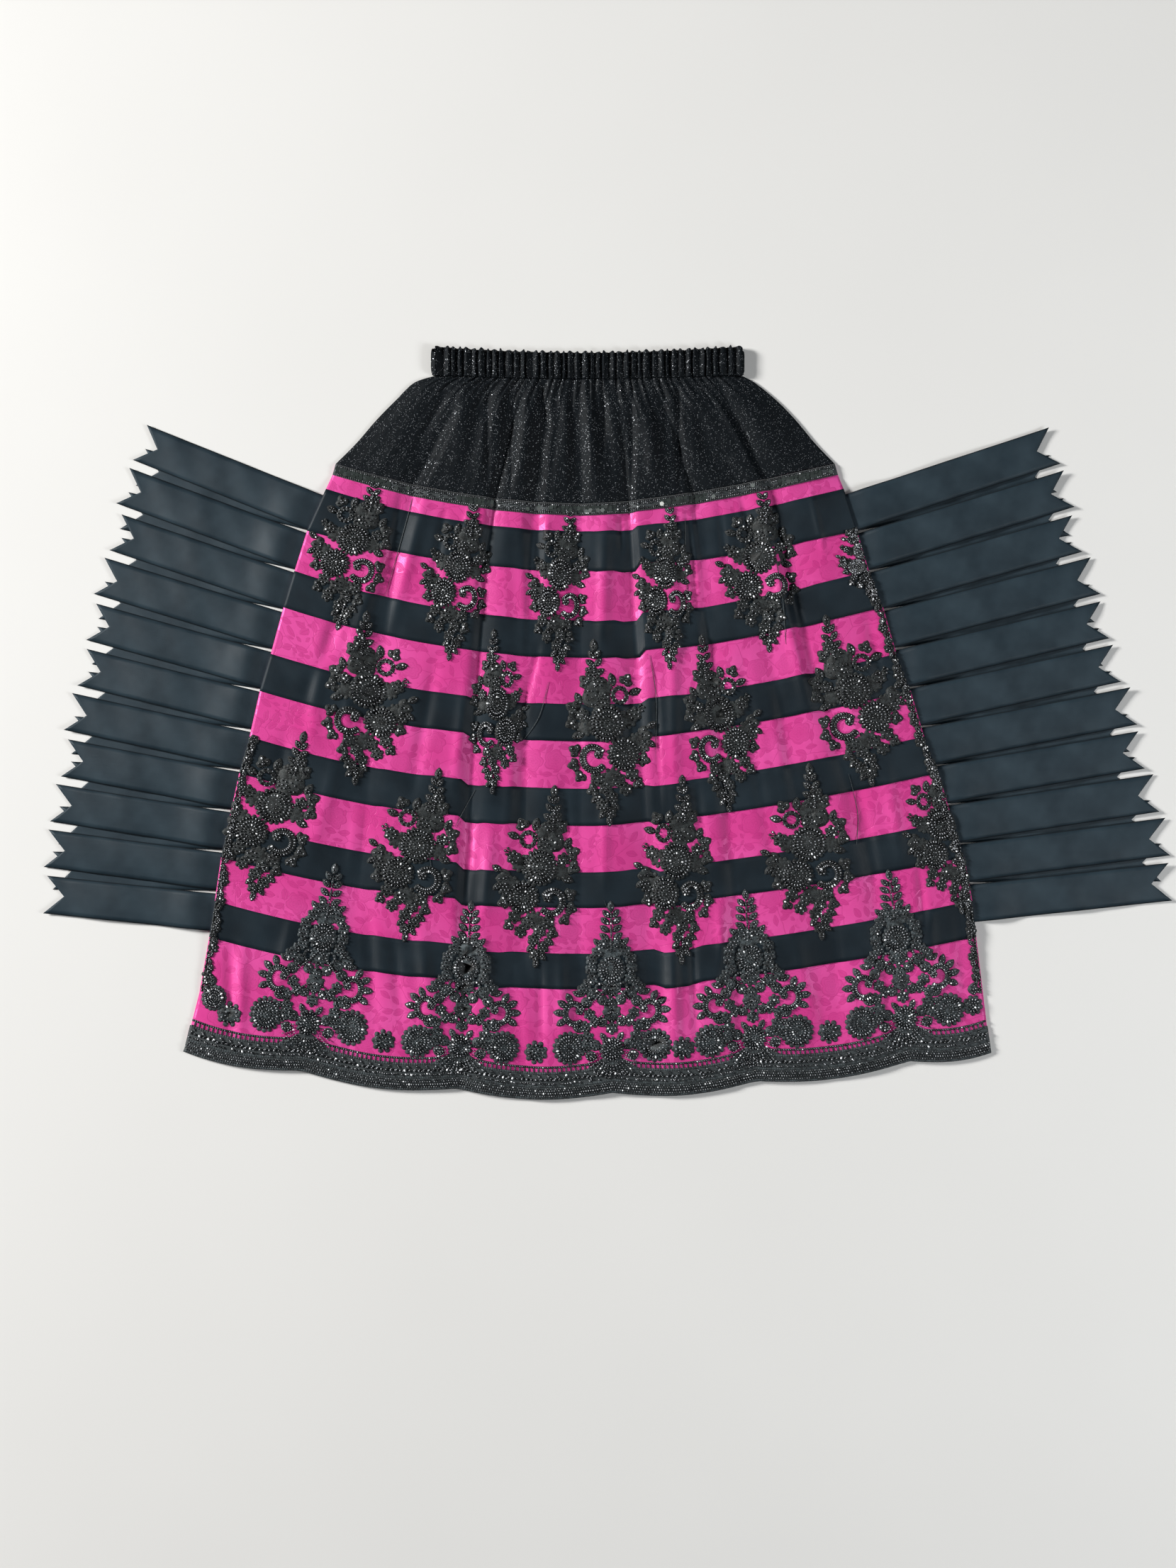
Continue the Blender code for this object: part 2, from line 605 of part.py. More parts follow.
def prism(name, outline, eyes, cutters):
    """An upright cutter with that outline and those openings, made from a flat curve."""
    curve = bpy.data.curves.new(name, "CURVE")
    curve.dimensions = "2D"
    curve.fill_mode = "BOTH"
    curve.extrude = CUTTER_HEIGHT / 2
    for loop in [outline] + eyes:
        spline = curve.splines.new("POLY")
        spline.points.add(len(loop) - 1)
        for point, (x, y) in zip(spline.points, loop):
            point.co = (x, y, 0, 1)
        spline.use_cyclic_u = True
    drawn = bpy.data.objects.new(name + "_outline", curve)
    cutters.objects.link(drawn)
    bpy.context.view_layer.update()
    mesh = bpy.data.meshes.new_from_object(drawn.evaluated_get(bpy.context.evaluated_depsgraph_get()))
    bpy.data.objects.remove(drawn)
    bm = bmesh.new()
    bm.from_mesh(mesh)
    bmesh.ops.remove_doubles(bm, verts=bm.verts[:], dist=0.00001)
    bmesh.ops.recalc_face_normals(bm, faces=bm.faces[:])
    bm.to_mesh(mesh)
    bm.free()
    cutter = bpy.data.objects.new(name, mesh)
    cutter.hide_render = True
    cutter.display_type = "WIRE"
    cutters.objects.link(cutter)
    return cutter


def cut_from_lace(name, lace_mesh, cutter, collection):
    """A piece of the lace wall, inside a cutter."""
    piece = bpy.data.objects.new(name, lace_mesh)
    collection.objects.link(piece)
    keep = piece.modifiers.new("keep_inside", "BOOLEAN")
    keep.operation = "INTERSECT"
    keep.solver = "EXACT"
    keep.object = cutter
    return piece


def ring(x, y, half_width, sides=EYE_SIDES, stretch=EYE_STRETCH):
    angles = [2 * math.pi * (index + 0.25) / sides for index in range(sides)]
    return [(x + half_width * math.cos(a), y + half_width * stretch * math.sin(a)) for a in angles]


def spray_loops(spray):
    """Outline and eye of a spray in the skirt's plane, turned with the flare."""
    flip = -1 if spray.mirrored else 1
    turn = FLARE * spray.x / FLARE_REACH
    outline = [(0.0, SPRAY_TIP)]
    outline += [(r.right, r.y) for r in SPRAY_OUTLINE]
    outline += [SPRAY_FOOT]
    outline += [(r.left, r.y) for r in reversed(SPRAY_OUTLINE)]

    def placed(point):
        x, y = flip * point[0] * spray.size_x, point[1] * spray.size_y
        return (spray.x + x * math.cos(turn) - y * math.sin(turn),
                spray.y + x * math.sin(turn) + y * math.cos(turn))

    eye = ring(*SPRAY_EYE)
    return [placed(point) for point in outline], [placed(point) for point in eye]


def on_border(along, height):
    """A point of the border: its place along the hem and its height above it, spread with the flare."""
    hem, head = row_named("lace_hem"), row_named("ribbon_6_foot")
    hem_reach = hem.right if along > 0 else hem.left
    head_reach = head.right if along > 0 else head.left
    u = along / hem_reach
    hem_y = mix(hem.middle_y, hem.side_y, min(abs(u), 1.2) ** (RIGHT_CURVE if u > 0 else LEFT_CURVE))
    rise = head.middle_y - hem.middle_y
    return u * mix(hem_reach, head_reach, height / rise), hem_y + height


def border_outline():
    """Scalloped hem, trees and medallions, as one outline from the left end round."""
    ends = (-SKIRT_ROWS[-1].left - BORDER_OVERSIZE, SKIRT_ROWS[-1].right + BORDER_OVERSIZE)
    blooms = sorted(MEDALLION + [MEDALLION_FOOT])
    upper = [(ends[0], BORDER_HEIGHT)]
    for index, tree in enumerate(TREES):
        branches = [(lobe.reach, lobe.height * tree.size_y) for lobe in TREE_OUTLINE]
        upper += [(tree.along - lobe.reach, lobe.height) for lobe in reversed(blooms)]
        upper += [(tree.along - reach, height) for reach, height in reversed(branches)]
        upper.append((tree.along, TREE_HEIGHT * tree.size_y))
        upper += [(tree.along + reach, height) for reach, height in branches]
        upper += [(tree.along + lobe.reach, lobe.height) for lobe in blooms]
        if index + 1 < len(TREES):
            middle = (tree.along + TREES[index + 1].along) / 2
            upper += [(middle + reach, BLOOM_HEIGHT) for reach in (-BLOOM_REACH, BLOOM_REACH)]
    upper.append((ends[1], BORDER_HEIGHT))
    stops = [ends[0]] + [tree.along for tree in TREES] + [ends[1]]
    lower = []
    for left, right in zip(stops, stops[1:]):
        for step in range(SCALLOP_STEPS):
            share = step / SCALLOP_STEPS
            lower.append((mix(left, right, share), SCALLOP_DEPTH * (1 - math.sin(math.pi * share))))
    lower.append((ends[1], SCALLOP_DEPTH))
    return [on_border(*point) for point in upper + lower[::-1]]


def border_eyes():
    eyes = []
    for tree in TREES:
        for eye in TREE_EYES:
            for side in (-1, 1):
                loop = ring(tree.along + side * eye.reach, eye.height * tree.size_y, eye.half_width)
                eyes.append([on_border(*point) for point in loop])
    return eyes


def lace_mesh(bm, material):
    bmesh.ops.recalc_face_normals(bm, faces=bm.faces[:])
    mesh = bpy.data.meshes.new("lace_wall")
    bm.to_mesh(mesh)
    bm.free()
    mesh.materials.append(material)
    return mesh


def make_lace(points, material, collection, cutters):
    """The sprays and the border, all cut from one wall that lies over satin and ribbons."""
    foot = row_named("trim_foot")
    below_trim = foot._replace(middle_y=foot.middle_y - 2 * GAP, side_y=foot.side_y - 2 * GAP)
    rows = [front_row(below_trim)] + [points[row.name] for row in SKIRT_ROWS[2:]]
    wall = lace_mesh(thicken(grid_of(lifted(rows, ON_RIBBON)), LACE_WALL), material)
    for index, spray in enumerate(SPRAYS):
        name = f"lace_spray_{index + 1:02d}"
        outline, eye = spray_loops(spray)
        cut_from_lace(name, wall, prism(name + "_cutter", outline, [eye], cutters), collection)
    border = prism("lace_border_cutter", border_outline(), border_eyes(), cutters)
    cut_from_lace("lace_border_front", wall, border, collection)


def make_back(materials, collection, cutters):
    """The back of the skirt, flat on the surface: satin, its lace edge and the yoke."""
    satin = [row_named(name) for name in BACK_ROWS]
    cloth("satin_back", flat_points(satin), BACK_WALL, materials["pink_satin"], collection)
    hem = row_named("satin_hem")
    edge = hem._replace(middle_y=hem.middle_y - GAP, side_y=hem.side_y - GAP)
    strip = thicken(grid_of(flat_points([edge, row_named("lace_hem")])), BACK_WALL)
    cutter = prism("lace_border_back_cutter", border_outline(), [], cutters)
    cut_from_lace("lace_border_back", lace_mesh(strip, materials["black_lace"]), cutter, collection)
    seam = YOKE_ROWS[-1]
    rows = YOKE_ROWS[:-1] + [seam._replace(middle_y=seam.middle_y + GAP, side_y=seam.side_y + GAP)]
    cloth("yoke_back", flat_points(rows), BACK_WALL, materials["glitter_knit"], collection)


def make_front(points, materials, collection):
    satin = [points[row.name] for row in SKIRT_ROWS[:-1]]
    cloth("satin_front", satin, FRONT_WALL, materials["pink_satin"], collection)
    cloth("yoke_front", yoke_front_points(), FRONT_WALL, materials["glitter_knit"], collection)
    seam = [points["yoke_seam"], points["trim_foot"]]
    cloth("sequin_trim", lifted(seam, ON_SATIN), TRIM_WALL, materials["sequin_trim"], collection)
    for number in range(1, RIBBON_COUNT + 1):
        rows = [points[f"ribbon_{number}_top"], points[f"ribbon_{number}_foot"]]
        name = f"ribbon_{number}"
        cloth(name, lifted(rows, ON_SATIN), RIBBON_WALL, materials["black_satin"], collection)


def make_fans(material, collection):
    for fan in TAIL_FANS:
        ribbons = fan_ribbons(fan)
        for index, ribbon in enumerate(ribbons):
            make_upper_tail(fan, index, ribbon, material, collection)
        make_lower_tails(fan, ribbons, material, collection)


def main():
    clear_scene()
    skirt = new_collection("ribbon_skirt")
    cutters = new_collection("cutters")
    materials = make_materials()
    points = front_points()
    make_back(materials, skirt, cutters)
    make_front(points, materials, skirt)
    make_waistband(materials["glitter_knit"], skirt)
    make_fans(materials["slate_satin"], skirt)
    make_lace(points, materials["black_lace"], skirt, cutters)


main()
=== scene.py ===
import math
from collections import namedtuple

import bmesh
import bpy
import numpy as np
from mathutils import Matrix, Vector
from mathutils.bvhtree import BVHTree


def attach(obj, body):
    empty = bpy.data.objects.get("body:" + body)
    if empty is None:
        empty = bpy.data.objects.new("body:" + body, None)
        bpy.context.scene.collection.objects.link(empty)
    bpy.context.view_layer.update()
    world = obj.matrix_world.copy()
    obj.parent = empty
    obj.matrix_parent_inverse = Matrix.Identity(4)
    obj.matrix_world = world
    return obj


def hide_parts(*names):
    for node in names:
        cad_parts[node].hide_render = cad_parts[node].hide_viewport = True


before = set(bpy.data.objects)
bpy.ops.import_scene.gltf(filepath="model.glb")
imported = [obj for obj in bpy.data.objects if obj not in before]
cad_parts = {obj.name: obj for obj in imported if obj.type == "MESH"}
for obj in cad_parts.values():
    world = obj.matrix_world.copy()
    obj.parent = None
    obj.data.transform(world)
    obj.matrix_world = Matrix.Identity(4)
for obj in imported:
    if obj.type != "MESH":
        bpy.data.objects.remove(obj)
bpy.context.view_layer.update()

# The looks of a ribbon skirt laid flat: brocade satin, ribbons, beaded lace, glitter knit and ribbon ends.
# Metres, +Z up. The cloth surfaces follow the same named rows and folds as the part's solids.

# Walls, clearances and levels, as in the part's source
GAP = 0.0003
BACK_WALL = 0.0010
FRONT_WALL = 0.0016
RIBBON_WALL = 0.0010
BACK_TOP = BACK_WALL
FRONT_REST = BACK_TOP + GAP
LOWER_TAIL_ROOT = BACK_TOP + GAP
UPPER_TAIL_ROOT = LOWER_TAIL_ROOT + RIBBON_WALL + GAP
UPPER_TAIL_REST = RIBBON_WALL + GAP
SIDE_LIFT = UPPER_TAIL_ROOT + RIBBON_WALL + GAP - FRONT_REST
ON_SATIN = FRONT_WALL + GAP
ON_RIBBON = ON_SATIN + RIBBON_WALL + GAP

# A row is a line across the skirt: where it crosses the middle, where it meets the side edges, how far it
# reaches left and right, how full the folds are on it and how far the front's side edge is lifted there. The
# last two are given where they differ from most rows.
Row = namedtuple("Row", "name middle_y side_y left right fullness side_lift", defaults=(1.0, SIDE_LIFT))
SKIRT_ROWS = [
    Row("yoke_seam", 0.282, 0.333, 0.320, 0.313, 1.0, 0.0),
    Row("trim_foot", 0.267, 0.319, 0.324, 0.317, 1.0, 0.0),
    Row("ribbon_1_top", 0.247, 0.301, 0.332, 0.324),
    Row("ribbon_1_foot", 0.197, 0.248, 0.356, 0.341),
    Row("ribbon_2_top", 0.134, 0.197, 0.372, 0.356),
    Row("ribbon_2_foot", 0.087, 0.151, 0.386, 0.374),
    Row("ribbon_3_top", 0.028, 0.092, 0.402, 0.391),
    Row("ribbon_3_foot", -0.019, 0.045, 0.416, 0.409),
    Row("ribbon_4_top", -0.079, -0.013, 0.429, 0.426),
    Row("ribbon_4_foot", -0.126, -0.059, 0.442, 0.444),
    Row("ribbon_5_top", -0.185, -0.119, 0.455, 0.462),
    Row("ribbon_5_foot", -0.230, -0.166, 0.465, 0.477),
    Row("ribbon_6_top", -0.288, -0.221, 0.473, 0.487),
    Row("ribbon_6_foot", -0.333, -0.267, 0.480, 0.492),
    Row("lace_head", -0.391, -0.338, 0.493, 0.501, 1.0, 0.0),
    Row("satin_hem", -0.453, -0.397, 0.508, 0.508, 0.8, 0.0),
    Row("lace_hem", -0.474, -0.417, 0.514, 0.512, 0.4, 0.0),
]
YOKE_ROWS = [
    Row("waist_seam", 0.4398, 0.4443, 0.196, 0.196),
    Row("shoulder", 0.4185, 0.4356, 0.221, 0.212),
    Row("upper_hip", 0.3915, 0.4140, 0.2435, 0.2385),
    Row("hip", 0.3610, 0.3890, 0.268, 0.263),
    Row("lower_hip", 0.3210, 0.3590, 0.294, 0.288),
    Row("yoke_seam", 0.282, 0.333, 0.320, 0.313),
]
LEFT_CURVE = 2.0
RIGHT_CURVE = 1.5
RIBBON_COUNT = 6

# A fold line runs from the yoke seam to the hem. Its place is a share of the half width, its rise is the
# height of the cloth there, and its slip is how far it draws the rows up or down near the seam and near the
# hem.
Fold = namedtuple("Fold", "seam hem seam_rise hem_rise seam_slip hem_slip", defaults=(0.0, 0.0))
FOLDS = [Fold(*numbers) for numbers in [
    (-1.000, -1.000, 0.0000, 0.0000),
    (-0.930, -0.935, 0.0040, 0.0038),
    (-0.780, -0.800, 0.0062, 0.0056, -0.0005, 0.0),
    (-0.690, -0.600, 0.0012, 0.0016, 0.0005, 0.0),
    (-0.620, -0.520, 0.0062, 0.0052, 0.0, 0.0015),
    (-0.410, -0.355, 0.0086, 0.0060, 0.0, 0.0040),
    (-0.372, -0.315, 0.0010, 0.0014, 0.0, -0.0040),
    (-0.300, -0.260, 0.0072, 0.0055, 0.0, -0.0020),
    (-0.215, -0.160, 0.0014, 0.0008, -0.0010, 0.0),
    (-0.150, -0.100, 0.0066, 0.0058),
    (-0.030, -0.020, 0.0024, 0.0030),
    (0.060, 0.050, 0.0080, 0.0062, -0.0015, 0.0),
    (0.165, 0.155, 0.0010, 0.0012, -0.0045, 0.0010),
    (0.202, 0.215, 0.0084, 0.0050, 0.0045, -0.0045),
    (0.385, 0.335, 0.0080, 0.0056, 0.0010, 0.0),
    (0.422, 0.375, 0.0010, 0.0016),
    (0.520, 0.500, 0.0064, 0.0052),
    (0.610, 0.600, 0.0030, 0.0016),
    (0.685, 0.715, 0.0084, 0.0056, 0.0010, 0.0),
    (0.722, 0.765, 0.0012, 0.0024, -0.0010, 0.0),
    (0.840, 0.870, 0.0060, 0.0050),
    (0.935, 0.940, 0.0040, 0.0038),
    (1.000, 1.000, 0.0000, 0.0000),
]]
# Shares of the way down by which a slip is full, and between which the seam's slip turns into the hem's. The
# last pair is the part between two fold lines where one's slip passes into the other's.
SLIP_FULL = 0.10
SLIP_TURNS = (0.2, 0.6)
SLIP_SPAN = (0.30, 0.70)
# How steeply the cloth leaves a hollow between two folds, against a straight slope
HOLLOW_SLOPE = 1.5

# A fold of the yoke: its place at the waist and at the seam as shares of the half width, its height and width
YokeFold = namedtuple("YokeFold", "waist seam rise half_width")
YOKE_FOLDS = [YokeFold(*numbers) for numbers in [
    (-0.90, -0.86, 0.0030, 0.070),
    (-0.74, -0.58, 0.0052, 0.080),
    (-0.50, -0.44, 0.0048, 0.045),
    (-0.33, -0.27, 0.0056, 0.055),
    (-0.14, -0.10, 0.0048, 0.045),
    (0.00, 0.04, 0.0052, 0.040),
    (0.12, 0.15, 0.0040, 0.028),
    (0.26, 0.28, 0.0058, 0.060),
    (0.46, 0.48, 0.0044, 0.050),
    (0.60, 0.62, 0.0036, 0.045),
    (0.84, 0.80, 0.0052, 0.070),
]]
GATHER_COUNT = 42
GATHER_REACH = 0.95
GATHER_STEPS = 4
# On each row of the yoke: the height of the elastic's gathers, and how full the folds are
GATHER_RISES = [0.0012, 0.0007, 0.0002, 0.0, 0.0, 0.0]
FOLD_SHARES = [0.0, 0.45, 1.0, 1.0, 0.7, 0.0]
WAIST_RISE = 0.0042
SIDE_ROUNDING = 10

BAND_HALF_WIDTH = 0.198
BAND_HEIGHT_MIDDLE = 0.0342
BAND_HEIGHT_SIDE = 0.0378
BAND_DEPTH = 0.0092
BAND_CORNER = 0.012
BAND_DROP = BAND_CORNER * 0.6

TAIL_COUNT = 11
TAIL_WIDTH = 0.048
TAIL_NOTCH = 0.024
TAIL_SHOULDER = 0.012
TAIL_TUCK = 0.006
TAPE_TUCK = 0.002
TAPE_WIDTH = 0.008
LENGTH_SPREAD = 0.004
LENGTH_STEP = 2.4
# How far from its root a ribbon end leaves the seam, arches highest, comes down again and waves
TAPE_END = 0.012
ARCH_TOP = 0.034
ARCH_FOOT = 0.075
WAVE_TOP = 0.135
TAIL_CLEARANCE = 0.0004
# The lower row: turned towards the gaps of the top one, shorter, and nearly flat on the floor
LOWER_TAIL_TURN = math.radians(7.2)
LOWER_TAIL_SHORT = 0.008
FLOOR_CLEARANCE = 0.0001
LOWER_TAIL_LEVELS = [(0.030, 0.0005), (0.040, FLOOR_CLEARANCE), (0.200, FLOOR_CLEARANCE)]
LOWER_TAIL_FACE = 0.0009
# A height that differs from one ribbon end to the next
Bend = namedtuple("Bend", "mean spread step")
ARCH = Bend(0.0030, 0.0016, 1.9)
WAVE = Bend(0.0012, 0.0008, 2.7)
CURL = Bend(0.0013, 0.0012, 1.3)
BOW = Bend(0.0011, 0.0004, 2.2)
TAIL_LEAN = 0.0007
TailFan = namedtuple("TailFan", "side top_y foot_y first_angle last_angle first_length last_length")
TAIL_FANS = [
    TailFan("left", 0.2950, -0.2615, 21.8, 6.0, 0.240, 0.218),
    TailFan("right", 0.2960, -0.2500, 18.2, 6.2, 0.272, 0.256),
]

# Where the middle of each lace spray lies, its size against the drawn one, and whether it is turned over,
# which puts its curled cord on the left
Spray = namedtuple("Spray", "x y size_x size_y mirrored")
SPRAYS = [Spray(*values) for values in [
    (-0.300, 0.221, 0.98, 0.92, False),
    (-0.166, 0.186, 0.82, 0.95, False),
    (-0.036, 0.176, 0.74, 0.98, False),
    (0.098, 0.178, 0.70, 0.98, False),
    (0.218, 0.198, 0.96, 0.96, False),
    (0.350, 0.214, 0.62, 0.52, False),
    (-0.279, 0.036, 1.10, 1.02, True),
    (-0.115, 0.020, 0.68, 0.98, True),
    (0.025, -0.006, 1.06, 1.10, True),
    (0.168, 0.006, 0.90, 1.06, True),
    (0.338, 0.036, 1.10, 1.04, True),
    (-0.400, -0.110, 1.12, 1.04, False),
    (-0.218, -0.160, 1.06, 1.04, False),
    (-0.062, -0.188, 1.02, 1.08, False),
    (0.112, -0.180, 0.92, 1.12, False),
    (0.280, -0.158, 1.06, 1.04, False),
    (0.448, -0.132, 0.86, 1.00, False),
]]
FLARE = math.radians(14.5)
FLARE_REACH = 0.45

# What a lace spray is drawn from, about its middle: kind, place, size and the direction it points in, in
# degrees
Motif = namedtuple("Motif", "kind x y size turn")
SPRAY_MOTIFS = [Motif(*values) for values in [
    ("ground", 0.006, 0.027, 0.0105, 0),
    ("ground", -0.024, 0.013, 0.01, 0),
    ("ground", 0.026, 0.005, 0.0095, 0),
    ("ground", -0.034, -0.012, 0.009, 0),
    ("ground", -0.004, -0.053, 0.01, 0),
    ("ground", 0.004, 0.05, 0.009, 0),
    ("ground", 0.019, 0.048, 0.008, 0),
    ("rose", 0.0005, 0.009, 0.0215, 10),
    ("rose", -0.019, -0.027, 0.0192, 40),
    ("scroll", 0.0165, -0.031, 0.019, 140),
    ("eye", -0.015, 0.041, 0.0125, 0),
    ("oval", 0.0185, 0.0385, 0.0135, 60),
    ("flower", 0.004, 0.037, 0.0085, 0),
    ("flower", -0.032, 0.019, 0.009, 0),
    ("sprig", -0.04, -0.005, 0.013, 185),
    ("flower", 0.03, 0.019, 0.008, 0),
    ("sprig", -0.0215, 0.056, 0.0105, 120),
    ("leaf", -0.006, 0.059, 0.0085, 75),
    ("leaf", -0.033, 0.045, 0.0082, 160),
    ("flower", 0.011, 0.057, 0.008, 0),
    ("sprig", 0.0245, 0.056, 0.0105, 45),
    ("leaf", 0.009, 0.068, 0.0072, 150),
    ("flower", 0.019, 0.0685, 0.0072, 0),
    ("leaf", 0.0105, 0.079, 0.0068, 135),
    ("leaf", 0.02, 0.0785, 0.0068, 40),
    ("leaf", 0.0115, 0.0885, 0.0062, 130),
    ("leaf", 0.0185, 0.088, 0.0062, 55),
    ("leaf", 0.0155, 0.0985, 0.008, 88),
    ("buds", -0.0355, 0.025, 0.0062, 165),
    ("leaf", 0.0345, 0.038, 0.008, 65),
    ("sprig", 0.038, 0.026, 0.012, 25),
    ("sprig", 0.04, 0.011, 0.011, -25),
    ("leaf", 0.035, -0.004, 0.0085, -20),
    ("leaf", -0.052, 0.006, 0.0072, 150),
    ("leaf", -0.051, -0.015, 0.0072, 215),
    ("flower", -0.042, -0.019, 0.0074, 0),
    ("sprig", -0.0405, -0.033, 0.01, 195),
    ("sprig", 0.0375, -0.023, 0.01, 30),
    ("sprig", 0.0385, -0.038, 0.01, -12),
    ("sprig", 0.032, -0.05, 0.0095, -48),
    ("flower", 0.013, -0.0545, 0.0088, 0),
    ("flower", -0.012, -0.056, 0.0092, 0),
    ("flower", -0.0285, -0.05, 0.0084, 0),
    ("sprig", -0.034, -0.059, 0.009, 215),
    ("flower", -0.0205, -0.067, 0.0078, 0),
    ("flower", 0.003, -0.066, 0.0086, 0),
    ("sprig", 0.0165, -0.067, 0.01, -20),
    ("leaf", 0.015, -0.078, 0.0074, -32),
    ("flower", -0.004, -0.0765, 0.0074, 0),
    ("flower", 0.008, -0.085, 0.0072, 0),
    ("leaf", -0.0075, -0.086, 0.0068, 225),
    ("leaf", 0.0075, -0.0955, 0.0064, -48),
    ("flower", -0.002, -0.094, 0.0064, 0),
    ("leaf", -0.0005, -0.1035, 0.0066, 264),
]]
# Beaded stems of a spray, as points that they pass through
SPRAY_STEMS = [
    [(0.0155, 0.0920), (0.0155, 0.0780), (0.0155, 0.0640), (0.0150, 0.0500)],
    [(0.0400, 0.0200), (0.0300, 0.0190), (0.0200, 0.0140)],
    [(0.0050, -0.0640), (0.0030, -0.0760), (0.0015, -0.0870), (0.0000, -0.0970)],
]
# The top row's sprays are drawn up towards the yoke above their tips, and end at a limit below it
TOP_ROW_COUNT = 6
TOP_ROW_LIFT = 0.008
TOP_ROW_START = -0.085
TOP_ROW_EASE = 0.04
TOP_ROW_LIMIT = 0.092
TOP_ROW_OVERLAP = 0.010

# The lace border at the hem: places on it are along the hem and above it, spread with the flare
Tree = namedtuple("Tree", "along size_y")
TREES = [Tree(-0.366, 1.08), Tree(-0.167, 0.98), Tree(0.031, 1.0), Tree(0.214, 1.0), Tree(0.409, 1.0)]
SCALLOP_DEPTH = 0.009
SCALLOP_ENDS = (-0.544, 0.542)
# Right half of a tree, and what stands on its middle line, with height above the hem
TREE_MIDDLE = [Motif(*values) for values in [
    ("ground", 0.0, 0.19, 0.014, 0),
    ("ground", 0.0, 0.142, 0.012, 0),
    ("ground", 0.0, 0.112, 0.011, 0),
    ("leaf", 0.0, 0.245, 0.0075, 92),
    ("flower", 0.0, 0.193, 0.0085, 0),
    ("rose", 0.0, 0.165, 0.0176, 0),
    ("oval", 0.0, 0.14, 0.0098, 90),
    ("oval", 0.0, 0.122, 0.0088, 90),
    ("oval", 0.0, 0.106, 0.0088, 90),
    ("flower", 0.0, 0.091, 0.008, 0),
    ("rose", 0.0, 0.064, 0.015, 20),
]]
TREE_SIDE = [Motif(*values) for values in [
    ("leaf", 0.0065, 0.236, 0.0068, 50),
    ("leaf", 0.008, 0.227, 0.0072, 40),
    ("leaf", 0.0085, 0.217, 0.0074, 35),
    ("leaf", 0.009, 0.207, 0.0076, 35),
    ("flower", 0.01, 0.198, 0.0076, 0),
    ("leaf", 0.019, 0.2, 0.0066, 50),
    ("flower", 0.0185, 0.188, 0.0078, 0),
    ("flower", 0.026, 0.178, 0.0076, 0),
    ("flower", 0.027, 0.166, 0.0076, 0),
    ("flower", 0.025, 0.154, 0.0076, 0),
    ("loop", 0.0145, 0.142, 0.0082, 40),
    ("leaf", 0.032, 0.148, 0.0074, 55),
    ("flower", 0.038, 0.14, 0.008, 0),
    ("leaf", 0.045, 0.135, 0.0072, 25),
    ("oval", 0.026, 0.135, 0.0088, 125),
    ("oval", 0.012, 0.127, 0.008, 60),
    ("scroll", 0.048, 0.11, 0.018, 150),
    ("oval", 0.033, 0.124, 0.0085, 160),
    ("leaf", 0.056, 0.129, 0.008, 65),
    ("leaf", 0.065, 0.122, 0.0082, 35),
    ("leaf", 0.069, 0.111, 0.0084, 5),
    ("leaf", 0.066, 0.099, 0.008, -30),
    ("flower", 0.029, 0.109, 0.0072, 0),
    ("flower", 0.022, 0.1, 0.0072, 0),
    ("oval", 0.012, 0.099, 0.0072, 130),
    ("flower", 0.035, 0.093, 0.0076, 0),
    ("leaf", 0.044, 0.09, 0.0076, 20),
    ("leaf", 0.042, 0.08, 0.0076, -20),
    ("flower", 0.031, 0.08, 0.0076, 0),
    ("leaf", 0.011, 0.08, 0.007, 60),
    ("oval", 0.022, 0.07, 0.0086, 40),
    ("flower", 0.034, 0.068, 0.0072, 0),
    ("oval", 0.027, 0.056, 0.008, 10),
    ("medallion", 0.056, 0.066, 0.0178, 0),
]]
TREE_STEMS = [
    [(0.000, 0.238), (0.000, 0.222), (0.000, 0.206), (0.000, 0.190)],
    [(0.000, 0.152), (0.012, 0.138), (0.024, 0.126), (0.036, 0.122)],
    [(0.000, 0.112), (0.012, 0.108), (0.022, 0.100), (0.034, 0.088)],
]
# Motifs that a side seam cuts through, with those beside the outermost trees
SIDE_MOTIFS = [
    Motif("bloom", -0.468, 0.062, 0.0150, 0),
    Motif("medallion", -0.492, 0.078, 0.0130, 0),
    Motif("oval", -0.500, 0.098, 0.0080, 80),
    Motif("bloom", 0.497, 0.066, 0.0115, 0),
    Motif("oval", 0.500, 0.086, 0.0080, 95),
]
BLOOM_MOTIF = Motif("bloom", 0.0, 0.060, 0.0140, 0)

